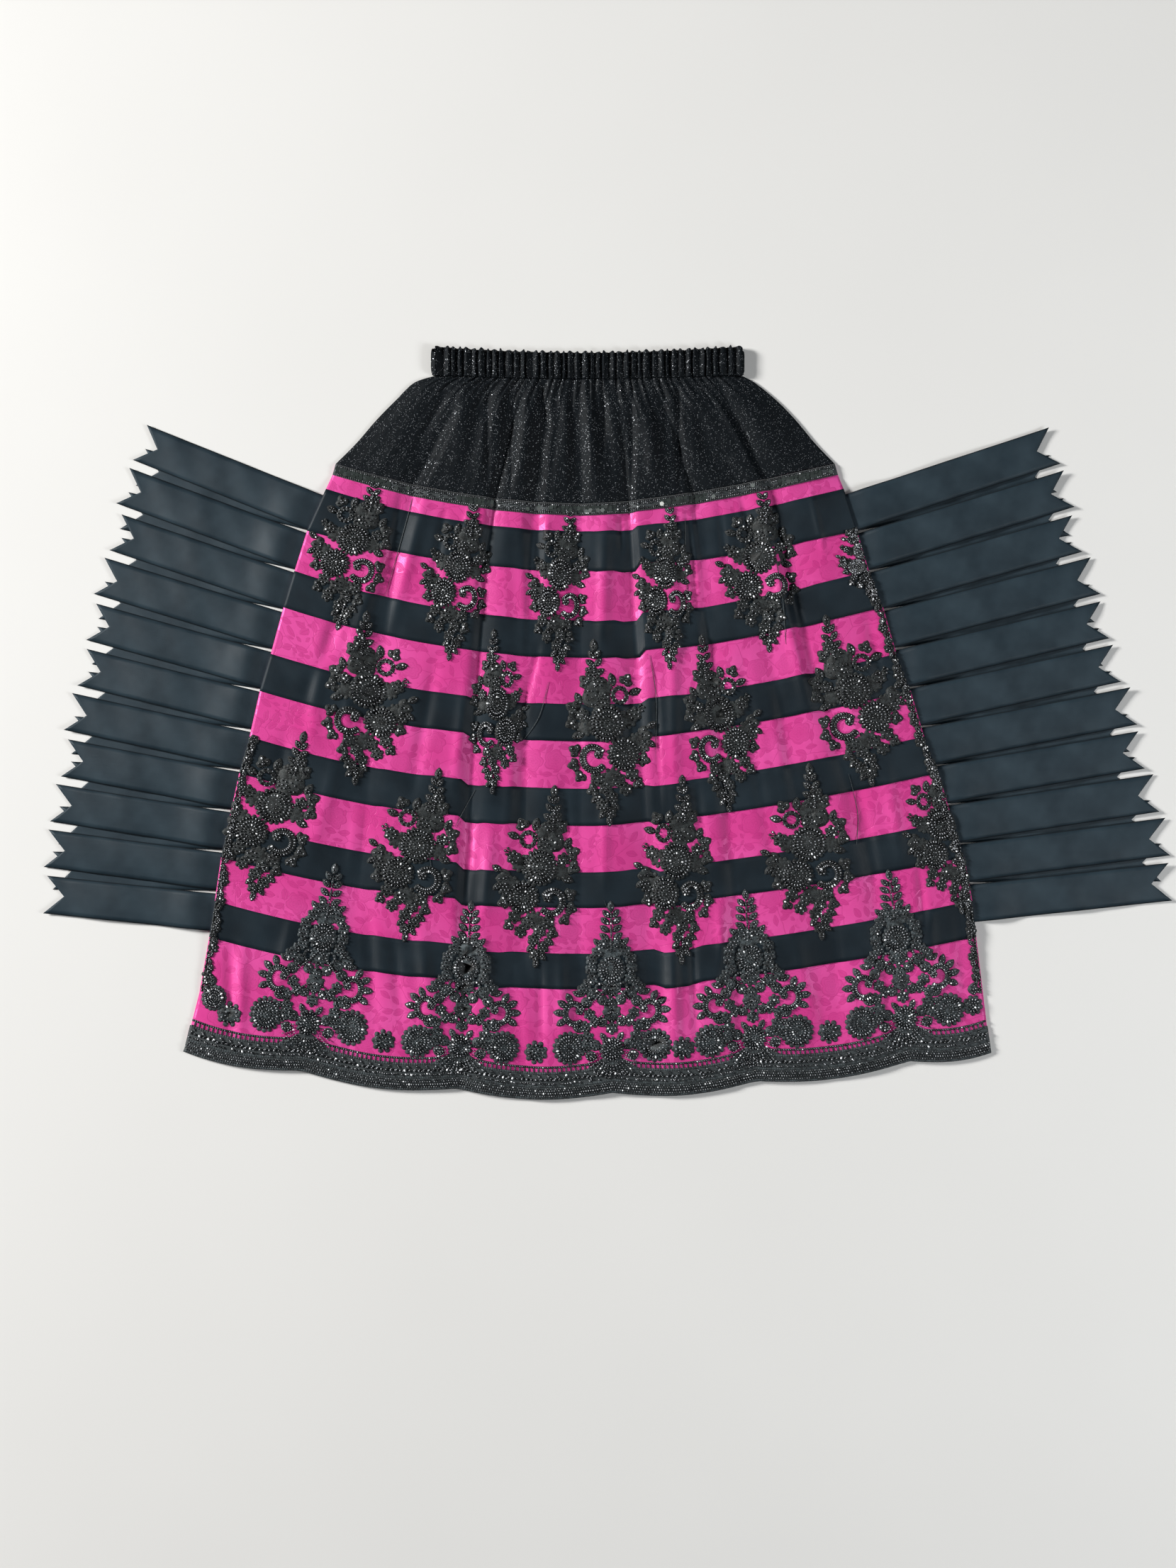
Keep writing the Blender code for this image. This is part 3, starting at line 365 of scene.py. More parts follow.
# Soft creases of the satin and ribbons: start, run, half the width and height
Crease = namedtuple("Crease", "x y run_x run_y half_width rise")
CREASES = [Crease(*numbers) for numbers in [
    (-0.235, 0.3, -0.02, -0.11, 0.0035, -0.0024),
    (-0.2466, 0.27, -0.07, -0.234, 0.0075, 0.0037),
    (-0.205, 0.296, -0.048, -0.184, 0.0085, 0.0038),
    (-0.18, 0.285, -0.018, -0.125, 0.005, -0.003),
    (-0.15, 0.282, -0.008, -0.06, 0.004, 0.0022),
    (-0.085, 0.292, 0.009, -0.29, 0.0085, 0.0035),
    (-0.064, 0.29, 0.003, -0.15, 0.004, -0.003),
    (-0.05, 0.275, -0.004, -0.07, 0.003, 0.0022),
    (-0.02, 0.275, 0.003, -0.045, 0.0028, -0.0022),
    (0.022, 0.274, -0.004, -0.19, 0.008, 0.0032),
    (0.04, 0.274, 0.002, -0.06, 0.003, -0.0024),
    (0.106, 0.28, 0.004, -0.42, 0.008, 0.0035),
    (0.1233, 0.2835, 0.016, -0.15, 0.0032, -0.0038),
    (0.133, 0.284, 0.018, -0.16, 0.0055, 0.003),
    (0.165, 0.288, 0.014, -0.12, 0.005, -0.0026),
    (0.19, 0.29, 0.01, -0.09, 0.004, 0.0026),
    (0.2295, 0.292, 0.066, -0.29, 0.0055, -0.0038),
    (0.216, 0.292, 0.066, -0.29, 0.0065, 0.0035),
    (0.28, 0.304, 0.02, -0.09, 0.0035, 0.0022),
    (-0.3, 0.18, -0.06, -0.15, 0.0085, -0.0035),
    (-0.335, 0.13, -0.016, -0.16, 0.009, 0.0032),
    (-0.28, 0.11, -0.04, -0.15, 0.007, 0.003),
    (-0.19, 0.1, -0.036, -0.2, 0.008, -0.003),
    (-0.155, 0.06, -0.016, -0.15, 0.007, 0.0026),
    (-0.06, 0.11, -0.03, -0.12, 0.004, -0.003),
    (-0.093, 0.04, -0.01, -0.2, 0.008, 0.0032),
    (-0.01, 0.06, 0.012, -0.12, 0.0065, 0.0026),
    (0.054, 0.08, -0.002, -0.12, 0.0055, -0.003),
    (0.085, 0.075, 0.006, -0.19, 0.0035, -0.0035),
    (0.195, 0.1, 0.024, -0.2, 0.008, -0.0029),
    (0.225, 0.06, 0.03, -0.17, 0.008, 0.0029),
    (0.295, 0.14, 0.05, -0.16, 0.0075, 0.003),
    (0.355, 0.15, 0.02, -0.13, 0.007, -0.0029),
    (-0.38, 0.0, -0.03, -0.14, 0.008, -0.003),
    (-0.315, -0.03, -0.04, -0.15, 0.0075, 0.003),
    (-0.286, -0.085, -0.016, -0.11, 0.006, 0.0032),
    (-0.146, -0.11, -0.014, -0.12, 0.0045, -0.0038),
    (-0.122, -0.12, -0.01, -0.13, 0.0075, 0.0035),
    (-0.03, -0.06, 0.006, -0.16, 0.007, -0.0026),
    (0.02, -0.08, 0.002, -0.13, 0.0065, 0.0024),
    (0.08, -0.12, 0.004, -0.13, 0.005, -0.003),
    (0.135, -0.05, 0.014, -0.16, 0.007, -0.0029),
    (0.215, -0.06, 0.03, -0.16, 0.008, -0.003),
    (0.34, -0.06, 0.03, -0.16, 0.0065, -0.0035),
    (0.375, -0.04, 0.024, -0.14, 0.008, 0.0032),
    (0.425, -0.04, 0.02, -0.13, 0.006, -0.0026),
    (-0.455, -0.27, 0.002, -0.13, 0.006, -0.0038),
    (-0.438, -0.27, -0.002, -0.13, 0.0065, 0.0035),
    (-0.37, -0.23, -0.03, -0.12, 0.008, 0.003),
    (-0.28, -0.22, 0.01, -0.17, 0.008, -0.003),
    (-0.212, -0.25, 0.016, -0.15, 0.01, 0.0043),
    (-0.248, -0.26, 0.012, -0.12, 0.007, -0.003),
    (-0.163, -0.225, 0.008, -0.07, 0.003, -0.0038),
    (-0.14, -0.24, 0.02, -0.13, 0.0075, 0.0032),
    (-0.086, -0.29, 0.01, -0.13, 0.007, 0.0043),
    (-0.061, -0.29, 0.002, -0.13, 0.005, -0.0038),
    (-0.035, -0.28, 0.004, -0.14, 0.007, 0.003),
    (0.025, -0.27, 0.01, -0.14, 0.008, -0.003),
    (0.088, -0.27, 0.004, -0.15, 0.005, -0.0038),
    (0.106, -0.25, 0.006, -0.18, 0.008, 0.0051),
    (0.131, -0.26, 0.008, -0.15, 0.005, -0.0035),
    (0.165, -0.22, 0.006, -0.09, 0.006, 0.003),
    (0.178, -0.25, -0.014, -0.13, 0.0045, -0.0026),
    (0.26, -0.26, 0.03, -0.13, 0.009, 0.003),
    (0.31, -0.24, 0.01, -0.14, 0.008, -0.003),
    (0.418, -0.17, 0.01, -0.09, 0.0045, -0.0035),
    (0.432, -0.23, 0.006, -0.15, 0.008, 0.0032),
    (0.47, -0.23, 0.01, -0.15, 0.007, -0.0026),
]]
# Soft creases of the yoke, most of them running down from the casing
YOKE_CREASES = [Crease(*numbers) for numbers in [
    (-0.2, 0.446, -0.096, -0.105, 0.012, 0.0024),
    (-0.169, 0.446, -0.056, -0.11, 0.005, -0.0024),
    (-0.153, 0.446, -0.01, -0.12, 0.011, 0.0024),
    (-0.126, 0.452, -0.002, -0.16, 0.0034, -0.0032),
    (-0.108, 0.446, -0.008, -0.13, 0.0065, 0.0022),
    (-0.0945, 0.43, -0.003, -0.14, 0.003, -0.0024),
    (-0.0765, 0.448, -0.01, -0.14, 0.008, 0.0024),
    (-0.062, 0.448, 0.013, -0.08, 0.0034, -0.0027),
    (-0.044, 0.446, -0.009, -0.13, 0.007, 0.0023),
    (-0.021, 0.446, 0.003, -0.15, 0.006, -0.0027),
    (0.001, 0.446, 0.004, -0.15, 0.008, 0.0023),
    (0.0225, 0.43, -0.005, -0.09, 0.004, -0.0024),
    (0.04, 0.44, 0.002, -0.1, 0.006, 0.0022),
    (0.056, 0.448, 0.0, -0.16, 0.0034, -0.0032),
    (0.075, 0.446, 0.008, -0.15, 0.008, 0.0024),
    (0.096, 0.44, 0.004, -0.09, 0.004, -0.0019),
    (0.114, 0.448, 0.003, -0.165, 0.0036, -0.0035),
    (0.129, 0.436, 0.007, -0.11, 0.0075, 0.0024),
    (0.144, 0.446, 0.064, -0.11, 0.005, 0.0024),
    (0.16, 0.446, 0.056, -0.11, 0.004, -0.0027),
    (0.198, 0.438, 0.072, -0.09, 0.011, 0.0024),
    (0.212, 0.352, -0.07, -0.018, 0.004, -0.0016),
    (-0.23, 0.35, 0.06, -0.012, 0.0045, -0.0015),
]]
# Where the net over the satin lies doubled in a thin pleat: points from its top down
NET_PLEATS = [
    [(-0.223, 0.289), (-0.228, 0.268), (-0.244, 0.210), (-0.257, 0.164)],
    [(0.123, 0.262), (0.124, 0.200), (0.128, 0.128)],
    [(-0.050, 0.056), (-0.062, 0.012), (-0.084, -0.020)],
    [(-0.143, -0.080), (-0.160, -0.112), (-0.168, -0.128)],
    [(0.078, 0.090), (0.086, 0.040), (0.086, -0.030)],
    [(0.235, 0.232), (0.246, 0.160), (0.250, 0.104)],
    [(-0.190, -0.118), (-0.200, -0.158), (-0.196, -0.190)],
    [(0.020, -0.220), (0.036, -0.262), (0.040, -0.300)],
    [(0.330, -0.060), (0.342, -0.110), (0.340, -0.150)],
    [(-0.150, -0.270), (-0.136, -0.286), (-0.140, -0.302)],
]


def mix(a, b, share):
    """The value at a share of the way from a to b."""
    return a + (b - a) * share


def eased(share):
    """A share of 0 to 1 that sets out and arrives softly."""
    share = np.clip(share, 0.0, 1.0)
    return share * share * (3 - 2 * share)


def row_named(name):
    return next(row for row in SKIRT_ROWS if row.name == name)


def down_list(things, field):
    """One value of each thing, as a column."""
    return np.array([getattr(thing, field) for thing in things])[:, None]


def across_list(things, field):
    """One value of each thing, as a line."""
    return down_list(things, field).T


def point_from(x, y, reach, degrees):
    """The point that lies a distance away in a direction."""
    angle = math.radians(degrees)
    return x + reach * math.cos(angle), y + reach * math.sin(angle)


def row_columns(rows):
    """Height in the middle and at the sides, and reach to the left and the right, of each row."""
    return [down_list(rows, field) for field in ("middle_y", "side_y", "left", "right")]


def places_across(u, middle_y, side_y, left, right):
    """The x and y of places on rows, where u runs from -1 at the left edge to 1 at the right edge."""
    curve = np.where(u > 0, np.abs(u) ** RIGHT_CURVE, np.abs(u) ** LEFT_CURVE)
    return np.where(u > 0, u * right, u * left), mix(middle_y, side_y, curve)


def place_on_row(row, u):
    """The point of a row at u, from -1 at the left edge to 1 at the right edge."""
    reach, curve = (row.right, RIGHT_CURVE) if u > 0 else (row.left, LEFT_CURVE)
    return u * reach, mix(row.middle_y, row.side_y, abs(u) ** curve)


# A sheet of points: x, y and z, and the place on the flat cut, each an array with a line for each row of the
# cloth and a column for each step across it
Sheet = namedtuple("Sheet", "x y z across down")


def cut_rows(sheet, first, last):
    return Sheet(*(values[first:last + 1] for values in sheet))


def raised(sheet, height):
    return sheet._replace(z=sheet.z + height)


def cloth_mesh(name, sheet):
    """A grid through a sheet's points, with its flat cut in metres as the UV map."""
    lines, columns = sheet.x.shape
    bm = bmesh.new()
    bmesh.ops.create_grid(bm, x_segments=columns - 1, y_segments=lines - 1, size=1.0)
    mesh = bpy.data.meshes.new(name)
    bm.to_mesh(mesh)
    bm.free()
    count = len(mesh.vertices)
    flat = np.empty(count * 3)
    mesh.vertices.foreach_get("co", flat)
    flat = flat.reshape(-1, 3)
    column = np.rint((flat[:, 0] + 1) / 2 * (columns - 1)).astype(int)
    line = np.rint((1 - flat[:, 1]) / 2 * (lines - 1)).astype(int)
    points = np.stack([sheet.x[line, column], sheet.y[line, column], sheet.z[line, column]], axis=1)
    mesh.vertices.foreach_set("co", points.ravel())
    corner_vertex = np.empty(len(mesh.loops), dtype=np.int32)
    mesh.loops.foreach_get("vertex_index", corner_vertex)
    cut = np.stack([sheet.across[line, column], sheet.down[line, column]], axis=1)[corner_vertex]
    uv = mesh.uv_layers.new(name="cut")
    uv.data.foreach_set("uv", cut.ravel())
    mesh.update()
    mesh.shade_smooth()
    return mesh


def show(name, mesh, *finishes):
    """Links a mesh as a piece that lies on the skirt's one body."""
    for finish in finishes:
        mesh.materials.append(finish)
    piece = bpy.data.objects.new(name, mesh)
    bpy.context.scene.collection.objects.link(piece)
    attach(piece, "root")
    return piece


def thicken(piece, thickness):
    """Gives a sheet its thickness, downwards from its face side."""
    wall = piece.modifiers.new("wall", "SOLIDIFY")
    wall.thickness = thickness
    wall.offset = -1.0
    return piece


def joined_mesh(name, sheets):
    """Several sheets as one mesh, each with its face side up."""
    joined = bmesh.new()
    for sheet in sheets:
        mesh = cloth_mesh("strip", sheet)
        joined.from_mesh(mesh)
        bpy.data.meshes.remove(mesh)
    for face in joined.faces:
        if face.normal.z < 0:
            face.normal_flip()
    mesh = bpy.data.meshes.new(name)
    joined.to_mesh(mesh)
    joined.free()
    mesh.shade_smooth()
    return mesh


def cloth(name, sheet, thickness, node, finish):
    """A sheet as a piece with a thickness, in place of a node of the part, which it hides."""
    piece = thicken(show(name, cloth_mesh(name, sheet), finish), thickness)
    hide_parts(node)
    return piece


# The front: satin, and what lies on it

ROW_STEP = 0.0060
COLUMN_STEP = 0.0090
MIN_FOLD_STEPS = 4
# Creases die out towards their ends, and towards the side edges over this share of the half width
CREASE_TAPER = 0.7
CALM_EDGE = 0.06
PUCKER_COUNT = 74
PUCKER_REACH = 0.96
PUCKER_HALF_WIDTH = 0.0085
PUCKER_DEPTH = 0.0007
PUCKER_FADE = 0.026


def fine_rows(rows, step):
    """Rows between the named ones, and where each named one is in the list."""
    fine = [rows[0]]
    index_of = {rows[0].name: 0}
    for above, below in zip(rows, rows[1:]):
        count = max(1, round((above.middle_y - below.middle_y) / step))
        for number in range(1, count + 1):
            share = number / count
            values = [mix(a, b, share) for a, b in zip(above[1:], below[1:])]
            fine.append(Row(below.name, *values))
        index_of[below.name] = len(fine) - 1
    return fine, index_of


def slopes(steps, widths):
    """Slope of the cloth on each side of every fold line: level on crests, steep out of hollows."""
    leaving = np.zeros((steps.shape[0], steps.shape[1] + 1))
    arriving = np.zeros_like(leaving)
    before, after = steps[:, :-1], steps[:, 1:]
    rate_before, rate_after = before / widths[:, :-1], after / widths[:, 1:]
    hollow = (before < 0) & (after > 0)
    passing = before * after > 0
    with np.errstate(divide="ignore", invalid="ignore"):
        steady = np.where(passing, 2 * rate_before * rate_after / (rate_before + rate_after), 0.0)
    arriving[:, 1:-1] = np.where(hollow, HOLLOW_SLOPE * rate_before, steady)
    leaving[:, 1:-1] = np.where(hollow, HOLLOW_SLOPE * rate_after, steady)
    leaving[:, 0] = HOLLOW_SLOPE * steps[:, 0] / widths[:, 0]
    arriving[:, -1] = HOLLOW_SLOPE * steps[:, -1] / widths[:, -1]
    return leaving, arriving


def crease_relief(creases, x, y):
    """Height that the creases add at each point, as soft ridges and hollows."""
    relief = np.zeros_like(x)
    for crease in creases:
        length = math.hypot(crease.run_x, crease.run_y)
        step_x, step_y = crease.run_x / length, crease.run_y / length
        away_x, away_y = x - crease.x, y - crease.y
        along = np.clip((away_x * step_x + away_y * step_y) / length, 0.0, 1.0)
        across = (away_y * step_x - away_x * step_y) / crease.half_width
        relief += crease.rise * np.exp(-across * across) * np.sin(math.pi * along) ** CREASE_TAPER
    return relief


def pucker_relief(u, below_seam):
    """Small gathers where the satin is eased into the yoke seam, each of its own depth and length."""
    relief = np.zeros_like(u)
    for number in range(PUCKER_COUNT):
        share = (number + 0.35 * math.sin(2.3 * number)) / (PUCKER_COUNT - 1)
        place = -PUCKER_REACH + 2 * PUCKER_REACH * share
        depth = PUCKER_DEPTH * (0.6 + 0.5 * math.sin(1.7 * number + 0.4))
        fade = PUCKER_FADE * (1.0 + 0.6 * math.sin(3.1 * number))
        across = (u - place) / PUCKER_HALF_WIDTH
        relief += depth * np.exp(-across * across) * np.exp(-below_seam / fade)
    return relief


def front_sheet():
    """The underside of the front panel."""
    rows, index_of = fine_rows(SKIRT_ROWS, ROW_STEP)
    top, foot = SKIRT_ROWS[0].middle_y, SKIRT_ROWS[-1].middle_y
    middle_y, side_y, left, right = row_columns(rows)
    down = (top - middle_y) / (top - foot)

    places = mix(across_list(FOLDS, "seam"), across_list(FOLDS, "hem"), down)
    rises = mix(across_list(FOLDS, "seam_rise"), across_list(FOLDS, "hem_rise"), down)
    rises = rises * down_list(rows, "fullness")
    side_lift = down_list(rows, "side_lift")[:, 0]
    for column in (0, 1, -2, -1):
        rises[:, column] = np.maximum(rises[:, column], side_lift)
    turn = eased((down - SLIP_TURNS[0]) / (SLIP_TURNS[1] - SLIP_TURNS[0]))
    slips = mix(across_list(FOLDS, "seam_slip"), across_list(FOLDS, "hem_slip"), turn)
    slips = eased(down / SLIP_FULL) * slips
    widths, steps = np.diff(places, axis=1), np.diff(rises, axis=1)
    leaving, arriving = slopes(steps, widths)

    u_columns, rise_columns, slip_columns = [places[:, :1]], [rises[:, :1]], [slips[:, :1]]
    for index in range(len(FOLDS) - 1):
        count = max(MIN_FOLD_STEPS, round((FOLDS[index + 1].seam - FOLDS[index].seam) / COLUMN_STEP))
        s = (np.arange(1, count + 1) / count)[None, :]
        width = widths[:, index:index + 1]
        start, end = rises[:, index:index + 1], rises[:, index + 1:index + 2]
        rise = (start * (1 - 3 * s**2 + 2 * s**3) + end * (3 * s**2 - 2 * s**3)
                + leaving[:, index:index + 1] * width * (s - 2 * s**2 + s**3)
                + arriving[:, index + 1:index + 2] * width * (s**3 - s**2))
        u_columns.append(places[:, index:index + 1] + width * s)
        rise_columns.append(rise)
        slip_columns.append(mix(slips[:, index:index + 1], slips[:, index + 1:index + 2],
                                eased((s - SLIP_SPAN[0]) / (SLIP_SPAN[1] - SLIP_SPAN[0]))))
    u = np.concatenate(u_columns, axis=1)
    rise = np.concatenate(rise_columns, axis=1)
    slip = np.concatenate(slip_columns, axis=1)

    x, y = places_across(u, middle_y, side_y, left, right)
    y = y + slip
    small = crease_relief(CREASES, x, y) + pucker_relief(u, top - middle_y + np.zeros_like(u))
    calm = np.clip((1 - np.abs(u)) / CALM_EDGE, 0, 1)
    z = FRONT_REST + np.maximum(rise + small * calm, 0.0)
    along = np.broadcast_to(top - middle_y, x.shape)
    return Sheet(x, y, z, x.copy(), -along), index_of


def over_ribbons(front, index_of):
    """The surface that lace lies on: the satin's face, stepping up onto each ribbon."""
    lift = np.full(front.z.shape[0], ON_SATIN)
    for number in range(1, RIBBON_COUNT + 1):
        lift[index_of[f"ribbon_{number}_top"]:index_of[f"ribbon_{number}_foot"] + 1] = ON_RIBBON
    return raised(front, lift[:, None])


class Ground:
    """A surface that small things are laid on, found by looking straight down."""

    def __init__(self, sheet):
        lines, columns = sheet.x.shape
        points = np.stack([sheet.x, sheet.y, sheet.z], axis=2).reshape(-1, 3)
        corner = np.arange(lines * columns).reshape(lines, columns)
        quads = np.stack([corner[:-1, :-1], corner[1:, :-1], corner[1:, 1:], corner[:-1, 1:]], axis=2)
        self.tree = BVHTree.FromPolygons(points.tolist(), quads.reshape(-1, 4).tolist())
        self.top = float(sheet.z.max()) + 0.1

    def height(self, x, y):
        spot, _, _, _ = self.tree.ray_cast(Vector((x, y, self.top)), Vector((0, 0, -1)))
        return None if spot is None else spot.z


# Small things, joined into one mesh for each piece

def shape_arrays(bm):
    """A small shape as its points and its triangles."""
    bmesh.ops.triangulate(bm, faces=bm.faces[:])
    bmesh.ops.recalc_face_normals(bm, faces=bm.faces[:])
    points = np.array([vert.co[:] for vert in bm.verts])
    faces = np.array([[vert.index for vert in face.verts] for face in bm.faces])
    bm.free()
    return points, faces


def bead_shape():
    bm = bmesh.new()
    bmesh.ops.create_icosphere(bm, subdivisions=1, radius=1.0)
    return shape_arrays(bm)


def plate_shape(sides, shoulder):
    """A low round plate with a sloping rim, from the level of the ground up to 1."""
    bm = bmesh.new()
    bmesh.ops.create_cone(bm, cap_ends=True, segments=sides, radius1=1.0, radius2=shoulder, depth=1.0)
    bmesh.ops.translate(bm, verts=bm.verts[:], vec=(0, 0, 0.5))
    return shape_arrays(bm)


def leaf_shape():
    """A pointed leaf that runs from its stem at -1 to its tip at 1, with a raised middle."""
    points, faces = plate_shape(12, 0.55)
    reach = np.abs(points[:, 0])
    points[:, 1] *= 0.60 * (1 - 0.62 * reach**3)
    return points, faces


def sequin_shape():
    """A thin cupped disc with its hole."""
    bm = bmesh.new()
    bmesh.ops.create_circle(bm, segments=9, radius=1.0, cap_ends=True)
    inner = bmesh.ops.inset_region(bm, faces=bm.faces[:], thickness=0.62, use_even_offset=True)
    rim = {vert for face in inner["faces"] for vert in face.verts}
    for vert in rim:
        vert.co.z = 0.55 if vert.co.length > 0.7 else 0.0
    return shape_arrays(bm)


SHAPES = {
    # name: points and triangles, whether it bends with the ground, which of the piece's finishes it has
    "bead": (bead_shape(), False, 1),
    "plate": (plate_shape(14, 0.78), True, 0),
    "leaf": (leaf_shape(), True, 0),
    "cord": (plate_shape(8, 0.60), True, 0),
    "sequin": (sequin_shape(), False, 2),
}


def spark(x, y):
    """A repeatable number from 0 to 1 for a place."""
    value = math.sin(x * 12989.8 + y * 78233.1) * 43758.5453
    return value - math.floor(value)


class Handwork:
    """Beads, plates, leaves, cords and sequins that are laid on a ground and joined."""

    def __init__(self, ground):
        self.ground = ground
        self.points, self.faces, self.finishes, self.sparks, self.painted_highlights = [], [], [], [], []
        self.count = 0

    def put(self, shape, x, y, length, width=None, height=None, turn=0.0, lift=0.0, tilt=0.0):
        (points, faces), bends, finish = SHAPES[shape]
        level = self.ground.height(x, y)
        if level is None:
            return
        width = length if width is None else width
        height = length if height is None else height
        local = points * (length, width, height)
        if tilt:
            swing, lean = math.sin(tilt), math.cos(tilt)
            local = np.stack([local[:, 0], local[:, 1] * lean - local[:, 2] * swing,
                              local[:, 1] * swing + local[:, 2] * lean], axis=1)
        c, s = math.cos(turn), math.sin(turn)
        placed = np.stack([x + local[:, 0] * c - local[:, 1] * s, y + local[:, 0] * s + local[:, 1] * c,
                           local[:, 2] + lift], axis=1)
        if bends:
            for point in placed:
                under = self.ground.height(point[0], point[1])
                point[2] += level if under is None else under
        else:
            placed[:, 2] += level
        self.points.append(placed)
        self.faces.append(faces + self.count)
        self.finishes.append(np.full(len(faces), finish))
        self.sparks.append(np.full(len(placed), spark(x, y)))
        # The height of each point in its shape; the beads' finish paints a highlight where this is greatest,
        # on top of each bead
        self.painted_highlights.append(np.maximum(points[:, 2], 0.0))
        self.count += len(placed)

    def mesh(self, name):
        made = bpy.data.meshes.new(name)
        points, faces = np.concatenate(self.points), np.concatenate(self.faces)
        made.from_pydata(points.tolist(), [], faces.tolist())
        made.polygons.foreach_set("material_index", np.concatenate(self.finishes).astype(np.int32))
        for label, values in (("spark", self.sparks), ("painted_highlight", self.painted_highlights)):
            attribute = made.attributes.new(label, "FLOAT", "POINT")
            attribute.data.foreach_set("value", np.concatenate(values).astype(np.float32))
        made.update()
        made.shade_smooth()
        return made


BEAD = 0.0013
BEAD_SINK = 0.7
STEM_BEAD_SPACING = 0.0030
CORD_HEIGHT = 0.0009
PLATE_HEIGHT = 0.0011
GROUND_HEIGHT = 0.0006
SCROLL_SWEEP = 275
# Beads of a leaf: how far along and across it, as shares of its size, and the bead's size
LEAF_BEADS = [
    (-0.62, 0.0, 0.8),
    (-0.20, 0.24, 0.85),
    (-0.20, -0.24, 0.85),
    (0.22, 0.19, 0.8),
    (0.22, -0.19, 0.8),
    (0.60, 0.0, 0.8),
]
OVAL_BEADS = 8
LOOP_CORDS = 10
EYE_CORDS = 9
# Lobes of a sprig: degrees from its direction, and how far out each stands
SPRIG_LOBES = [(-72, 0.34), (72, 0.34), (0, 0.52)]
# Rings of radial beads on a rose: radius as a share of its size, size of rose for each bead, bead and stretch
ROSE_RINGS = [
    (0.84, 0.00072, 1.00, 1.55),
    (0.61, 0.00090, 0.95, 1.50),
    (0.39, 0.00140, 0.90, 1.35),
    (0.16, 0.00300, 0.80, 1.00),
]
# Rings of radial beads on other motifs: radius as a share of the size, count, bead and stretch
MEDALLION_RINGS = [(0.84, 28, 1.00, 1.7), (0.57, 20, 0.95, 1.4), (0.34, 12, 0.85, 1.1), (0.12, 4, 0.70, 1.0)]
BLOOM_RINGS = [(0.66, 12, 1.05, 1.6), (0.34, 7, 1.05, 1.3)]
EYE_RINGS = [(0.82, 12, 0.90, 1.2), (0.52, 9, 0.85, 1.2)]


